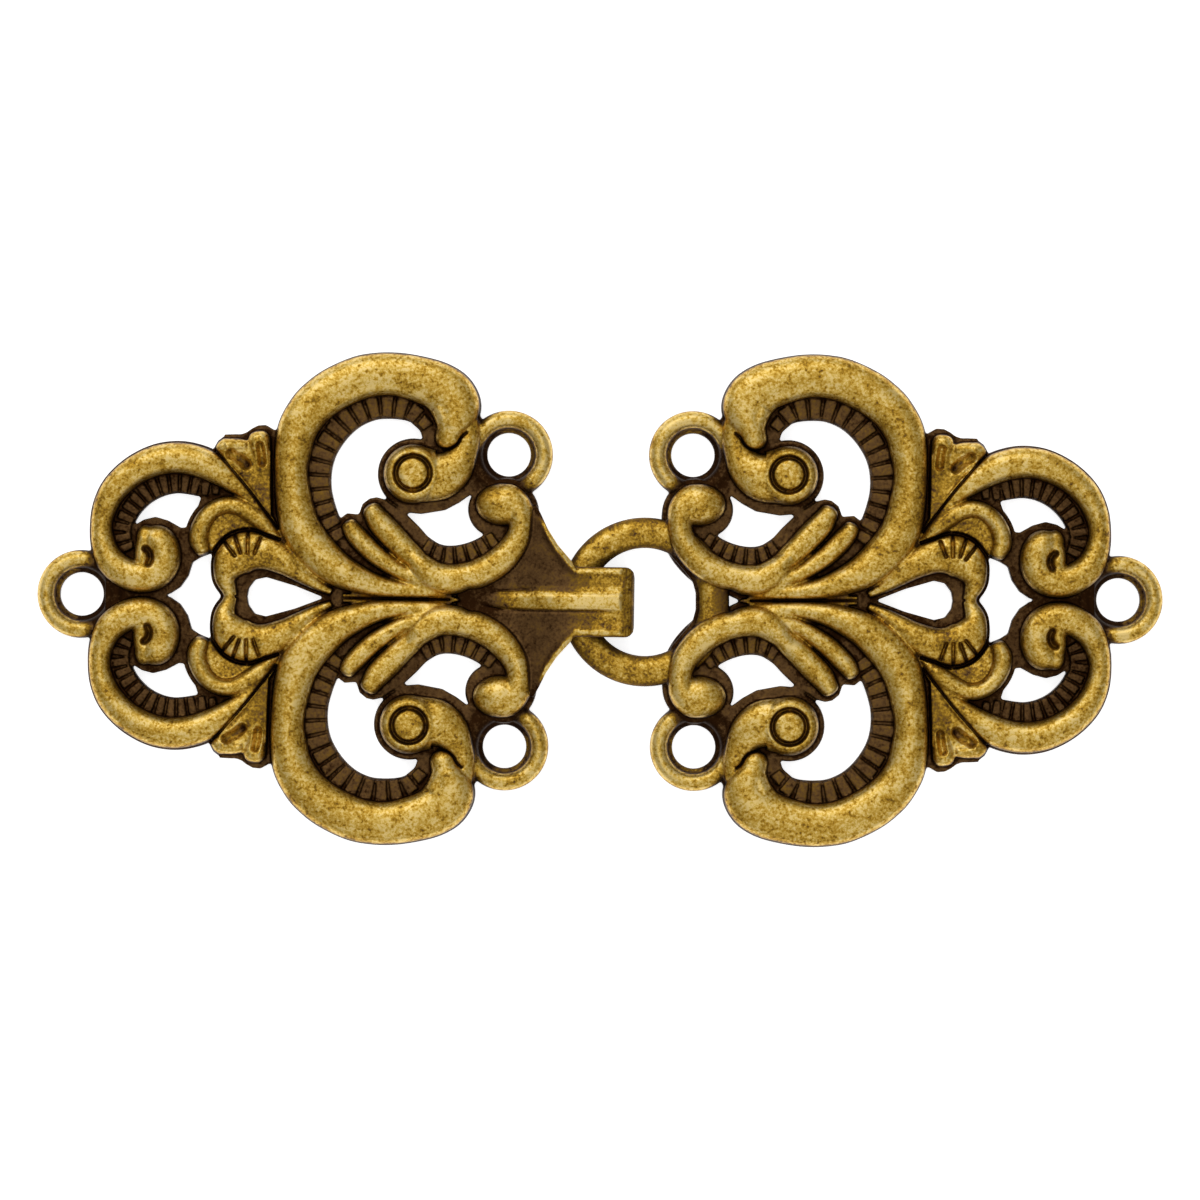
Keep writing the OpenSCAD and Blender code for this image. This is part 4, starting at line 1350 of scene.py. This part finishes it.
@dataclass(frozen=True)
class BuffingAndShade:
    """How far the wheel laid each point bare, with painted shade and highlights added: the value runs from
    none in a pit to one on a crest.
    """

    open_face: float = 0.82
    # What each place loses: a hollow, a dent, an upright wall, and a fitting's own field, which holds
    # patina and painted shade.
    hollow: float = 0.66
    dent: float = 0.5
    wall: float = 0.5
    fitting: float = 0.64
    # The ribs' tops are a little brighter than the floors, and the outer ledges a little darker.
    rib_gain: float = 0.07
    outer_loss: float = 0.08
    # A sewing loop's chamfer and root are dark, and its crest is a little brighter.
    loop_chamfer: float = 0.42
    loop_root: float = 0.4
    loop_gain: float = 0.06
    # In each of these pairs the change starts at the first value and is whole at the second: the
    # depth below the crests nearby, the depth of a dent, the height of the ribs' tops, the upright
    # share of a face's direction, the distance from a loop's axis, and the height of the floors.
    hollow_depth: Point = (1.0, 1.6)
    dent_depth: Point = (0.0, 0.3)
    rib_tops: Point = (1.42, 1.52)
    wall_slope: Point = (0.45, 0.07)
    chamfer_reach: Point = (2.1, 1.75)
    floor_tops: Point = (2.05, 1.8)
    # The outer ledges lie between these distances out.
    outer_ledges: Point = (27.0, 35.0)
    # A loop goes this far from its axis and up, and the floors start a little further off.
    loop_reach: float = 3.2
    loop_top: float = 2.0
    loop_clearance: float = 3.3
    # No floor starts nearer to the clasp's centre than floor_start, and none that is higher than
    # high_floor starts nearer than high_start.
    floor_start: float = 4.6
    high_start: float = 9.5
    high_floor: float = 1.8
    # The rasters that find the hollows: their cells, and how far off a crest counts as near.
    cell: float = 0.15
    crest_reach: float = 1.5

    def expose(self, mesh: bpy.types.Mesh, fitting: FoldedHook | EyeRing) -> None:
        """Writes how far each point stands out of its surroundings, with painted shade and highlights
        added, for the finish.

        Args:
            mesh: the casting in millimetres, which gets the attribute exposure.
            fitting: the hook or the ring, which has places of its own.
        """
        points = vertex_vectors(mesh, "co")
        u, v, z = points.T
        height, crest, corner = shelter_map(points, self.cell, self.crest_reach)
        spots = ((points[:, :2] - np.array(corner)) / self.cell).astype(int)
        below = blurred(crest, 1)[spots[:, 0], spots[:, 1]] - z
        sunk = blurred(height, 1)[spots[:, 0], spots[:, 1]] - z
        hidden = ramp(below, *self.hollow_depth)
        low = self.low_floor(points)
        hidden = np.maximum(hidden * hidden * (3 - 2 * hidden), low)
        exposure_and_shade = self.open_face - self.hollow * hidden - self.dent * ramp(sunk, *self.dent_depth)
        exposure_and_shade += self.rib_gain * low * ramp(z, *self.rib_tops)
        exposure_and_shade -= self.wall * ramp(vertex_vectors(mesh, "normal")[:, 2], *self.wall_slope)
        exposure_and_shade -= self.fitting * fitting.field(points)
        exposure_and_shade -= self.outer_loss * low * (u > self.outer_ledges[0]) * (u < self.outer_ledges[1])
        # One of these spots is a painted shadow.
        for out, up, reach, depth in SHELTERED_AND_SHADED:
            exposure_and_shade -= depth * bell(np.hypot(u - out, np.abs(v) - up), reach)
        folded = np.stack([u, np.abs(v), z], -1)
        for centre, root in (UPPER_LOOP, END_LOOP):
            from_axis = np.hypot(u - centre[0], np.abs(v) - centre[1])
            shade = self.loop_chamfer * ramp(from_axis, *self.chamfer_reach) - self.loop_gain
            shade += self.loop_root * rootward(folded, centre, root)
            exposure_and_shade -= shade * (from_axis < self.loop_reach) * (z < self.loop_top)
        exposure_and_shade = np.clip(exposure_and_shade, 0.0, 1.0)
        mesh.attributes.new("exposure_and_shade", "FLOAT", "POINT").data.foreach_set("value", exposure_and_shade)

    def low_floor(self, points: np.ndarray) -> np.ndarray:
        """Where a point lies on the plate's low floors, away from the loops and the ring.

        Args:
            points: the casting's points.

        Returns:
            One on a floor or ledge, none on anything that stands up.
        """
        u, v, z = points.T
        clear = (u < self.floor_start) | ((u < self.high_start) & (z > self.high_floor))
        for centre in (UPPER_LOOP[0], END_LOOP[0]):
            clear |= np.hypot(u - centre[0], np.abs(v) - centre[1]) < self.loop_clearance
        return np.where(clear, 0.0, ramp(z, *self.floor_tops))


@dataclass
class CastHalf:
    """One finished half of the clasp: how it is turned and shifted, and how finely it is made."""

    side: Side
    fitting: FoldedHook | EyeRing
    turn: float
    shift: float
    voxel: float
    softening: float = 0.5
    softening_passes: int = 2
    # Engraved lines have this roundness. They cut only what stands this far above the floors, and
    # go this far below the floors' level at most.
    line_steps: int = 4
    line_power: float = 1.5
    line_margin: float = 0.05
    line_floor: float = 0.1
    max_triangles: int = 190_000

    def engrave(self, points: np.ndarray, cuts: tuple[Cut, ...]) -> np.ndarray:
        """Presses engraved lines into the casting's face.

        Args:
            points: the casting's points.
            cuts: the lines of one quarter.

        Returns:
            The points with the lines sunk in.
        """
        result = points.copy()
        for cut in cuts:
            line = smooth_line(tuple((u, v, 0.0) for u, v in cut.line), self.line_steps)[:, :2]
            for sign in (1.0, -1.0):
                path = line * np.array([1.0, sign])
                near = np.all((points[:, :2] > path.min(0) - 1) & (points[:, :2] < path.max(0) + 1), axis=1)
                near &= points[:, 2] > FOOT_HEIGHT + self.line_margin
                here = points[near, :2]
                gap = np.full(len(here), np.inf)
                for a, b in zip(path, path[1:]):
                    d = b - a
                    share = np.clip((here - a) @ d / (d @ d), 0, 1)
                    gap = np.minimum(gap, np.linalg.norm(here - a - share[:, None] * d, axis=1))
                sink = cut.depth * np.clip(1 - (gap / cut.half_width) ** 2, 0, 1) ** self.line_power
                room = np.maximum(result[near, 2] - FOOT_HEIGHT + self.line_floor, 0)
                result[near, 2] -= np.minimum(sink, room)
        return result

    def cast(self, shapes: list[Shape], name: str) -> bpy.types.Mesh:
        """Fuses all shapes into one skin, engraves it and thins its flat faces.

        Args:
            shapes: closed shapes that run into each other.
            name: name of the result.

        Returns:
            One closed mesh, in millimetres.
        """
        rough = to_object(name + "_rough", join(shapes))
        fuse = rough.modifiers.new("fuse", "REMESH")
        fuse.mode = "VOXEL"
        fuse.voxel_size = self.voxel
        soften = rough.modifiers.new("soften", "SMOOTH")
        soften.factor = self.softening
        soften.iterations = self.softening_passes
        mesh = evaluated(rough)
        points = self.engrave(vertex_vectors(mesh, "co"), CUTS)
        points[:, 2] = np.maximum(points[:, 2], 0)
        mesh.vertices.foreach_set("co", points.ravel())
        fine = placed(name + "_fine", mesh)
        triangles = 2 * len(mesh.polygons)
        log.info("%s: %d triangles before thinning", name, triangles)
        if triangles > self.max_triangles:
            thin = fine.modifiers.new("thin", "DECIMATE")
            thin.ratio = self.max_triangles / triangles
        result = evaluated(fine)
        largest_part(result)
        return result

    def settle(self, mesh: bpy.types.Mesh) -> None:
        """Sets the half down in metres where the solids lie.

        Args:
            mesh: the casting in millimetres, in its own frame.
        """
        points = vertex_vectors(mesh, "co")
        if self.side is Side.HOOK:
            points[:, 0] *= -1
        c, s = math.cos(math.radians(self.turn)), math.sin(math.radians(self.turn))
        u, v = points[:, 0].copy(), points[:, 1].copy()
        points[:, 0] = c * u - s * v
        points[:, 1] = s * u + c * v + self.shift
        mesh.vertices.foreach_set("co", (points * MM).ravel())
        if self.side is Side.HOOK:
            mesh.flip_normals()
        mesh.update()

    def build(self, plate: list[Shape], material: bpy.types.Material) -> bpy.types.Object:
        """Makes the finished half.

        Args:
            plate: the shapes of the plate that both halves share.
            material: the half's finish.

        Returns:
            The object, riding with the CAD and standing for its node.
        """
        name = self.side.value + "_casting"
        mesh = self.cast(plate + self.fitting.build(), name)
        BuffingAndShade().expose(mesh, self.fitting)
        self.settle(mesh)
        mesh.name = name
        mesh.materials.clear()
        mesh.materials.append(material)
        mesh.shade_smooth()
        thing = placed(name, mesh)
        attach(thing, "root")
        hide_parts(self.side.value + "_half")
        log.info("%s: %d faces", name, len(mesh.polygons))
        return thing


@dataclass(frozen=True)
class SoftBox:
    """One soft box: where it hangs, its width and height in metres, and its power in watts."""

    name: str
    place: tuple[float, float, float]
    size: tuple[float, float]
    watts: float


@dataclass
class Studio:
    """The pale floor, the soft light and the camera."""

    floor_size: float = 6.0
    floor_drop: float = 0.00002
    floor_glow: float = 0.75
    sky_strength: float = 0.4
    boxes: tuple[SoftBox, ...] = (
        SoftBox("key", (-0.14, 0.42, 0.42), (0.7, 0.45), 1.62),
        SoftBox("fill", (0.1, -0.42, 0.42), (0.8, 0.5), 0.75),
        SoftBox("top", (0.0, 0.05, 0.8), (0.5, 0.5), 0.7))
    camera_height: float = 0.477
    # The camera's scale holds at this height, halfway up the castings.
    sharp_height: float = 2 * MM
    sensor_mm: float = 36.0
    # The photograph is 1200 pixels wide, at 14 a millimetre.
    frame_width_mm: float = 1200 / 14

    def floor(self) -> None:
        """A plain pale floor that the clasp lies on."""
        half, top = self.floor_size / 2, -self.floor_drop
        corners = np.array([(-half, -half, top), (half, -half, top), (half, half, top), (-half, half, top)])
        plane = to_object("floor", Shape(corners, [(0, 1, 2, 3)]))
        # Matt white paper, lit a little from below so that it stays even.
        paint = bpy.data.materials.new("white_paper")
        paint.use_nodes = True
        shader = paint.node_tree.nodes["Principled BSDF"]
        for name, value in (("Base Color", srgb("f4f4f4")), ("Roughness", 0.9),
                            ("Emission Color", srgb("ffffff")), ("Emission Strength", self.floor_glow)):
            shader.inputs[name].default_value = value
        plane.data.materials.append(paint)

    def lamp(self, box: SoftBox) -> None:
        """Hangs one soft box so that it faces the clasp.

        Args:
            box: the soft box.
        """
        data = bpy.data.lights.new(box.name, "AREA")
        data.shape = "RECTANGLE"
        data.size, data.size_y = box.size
        data.energy = box.watts
        lamp = placed(box.name, data)
        lamp.location = box.place
        x, y, z = box.place
        lamp.rotation_euler = (math.atan2(math.hypot(x, y), z), 0, math.atan2(x, -y))

    def sky(self) -> None:
        """Even light from all round."""
        world = bpy.data.worlds.new("studio")
        world.use_nodes = True
        shade = world.node_tree.nodes["Background"]
        shade.inputs["Color"].default_value = srgb("ffffff")
        shade.inputs["Strength"].default_value = self.sky_strength
        bpy.context.scene.world = world

    def camera(self) -> None:
        """Looks straight down, as the photograph does."""
        data = bpy.data.cameras.new("camera")
        data.sensor_width = self.sensor_mm
        lens_distance = (self.camera_height - self.sharp_height) / MM
        data.lens = self.sensor_mm * lens_distance / self.frame_width_mm
        data.clip_start = 0.01
        data.clip_end = 50
        camera = placed("camera", data)
        camera.location = (0, 0, self.camera_height)
        bpy.context.scene.camera = camera

    def build(self) -> None:
        """Sets up the studio."""
        self.floor()
        for box in self.boxes:
            self.lamp(box)
        self.sky()
        self.camera()
        bpy.context.scene.view_settings.view_transform = "Standard"


def main() -> None:
    """Builds the clasp and its studio."""
    logging.basicConfig(level=logging.INFO, format="%(message)s")
    voxel = FINE_VOXEL
    Studio().build()
    finish = AntiqueBrass().material("antique_brass")
    plate = ScrollPlate(step=SWEEP_STEP).build(finish)
    # Each half is turned by some degrees and shifted up by some millimetres, as the photograph shows.
    halves = (
        CastHalf(Side.HOOK, FoldedHook(), turn=-0.9, shift=-0.144, voxel=voxel),
        CastHalf(Side.EYE, EyeRing(), turn=0.15, shift=-0.092, voxel=voxel),
    )
    for half in halves:
        half.build(plate, finish)


if __name__ == "__main__":
    main()
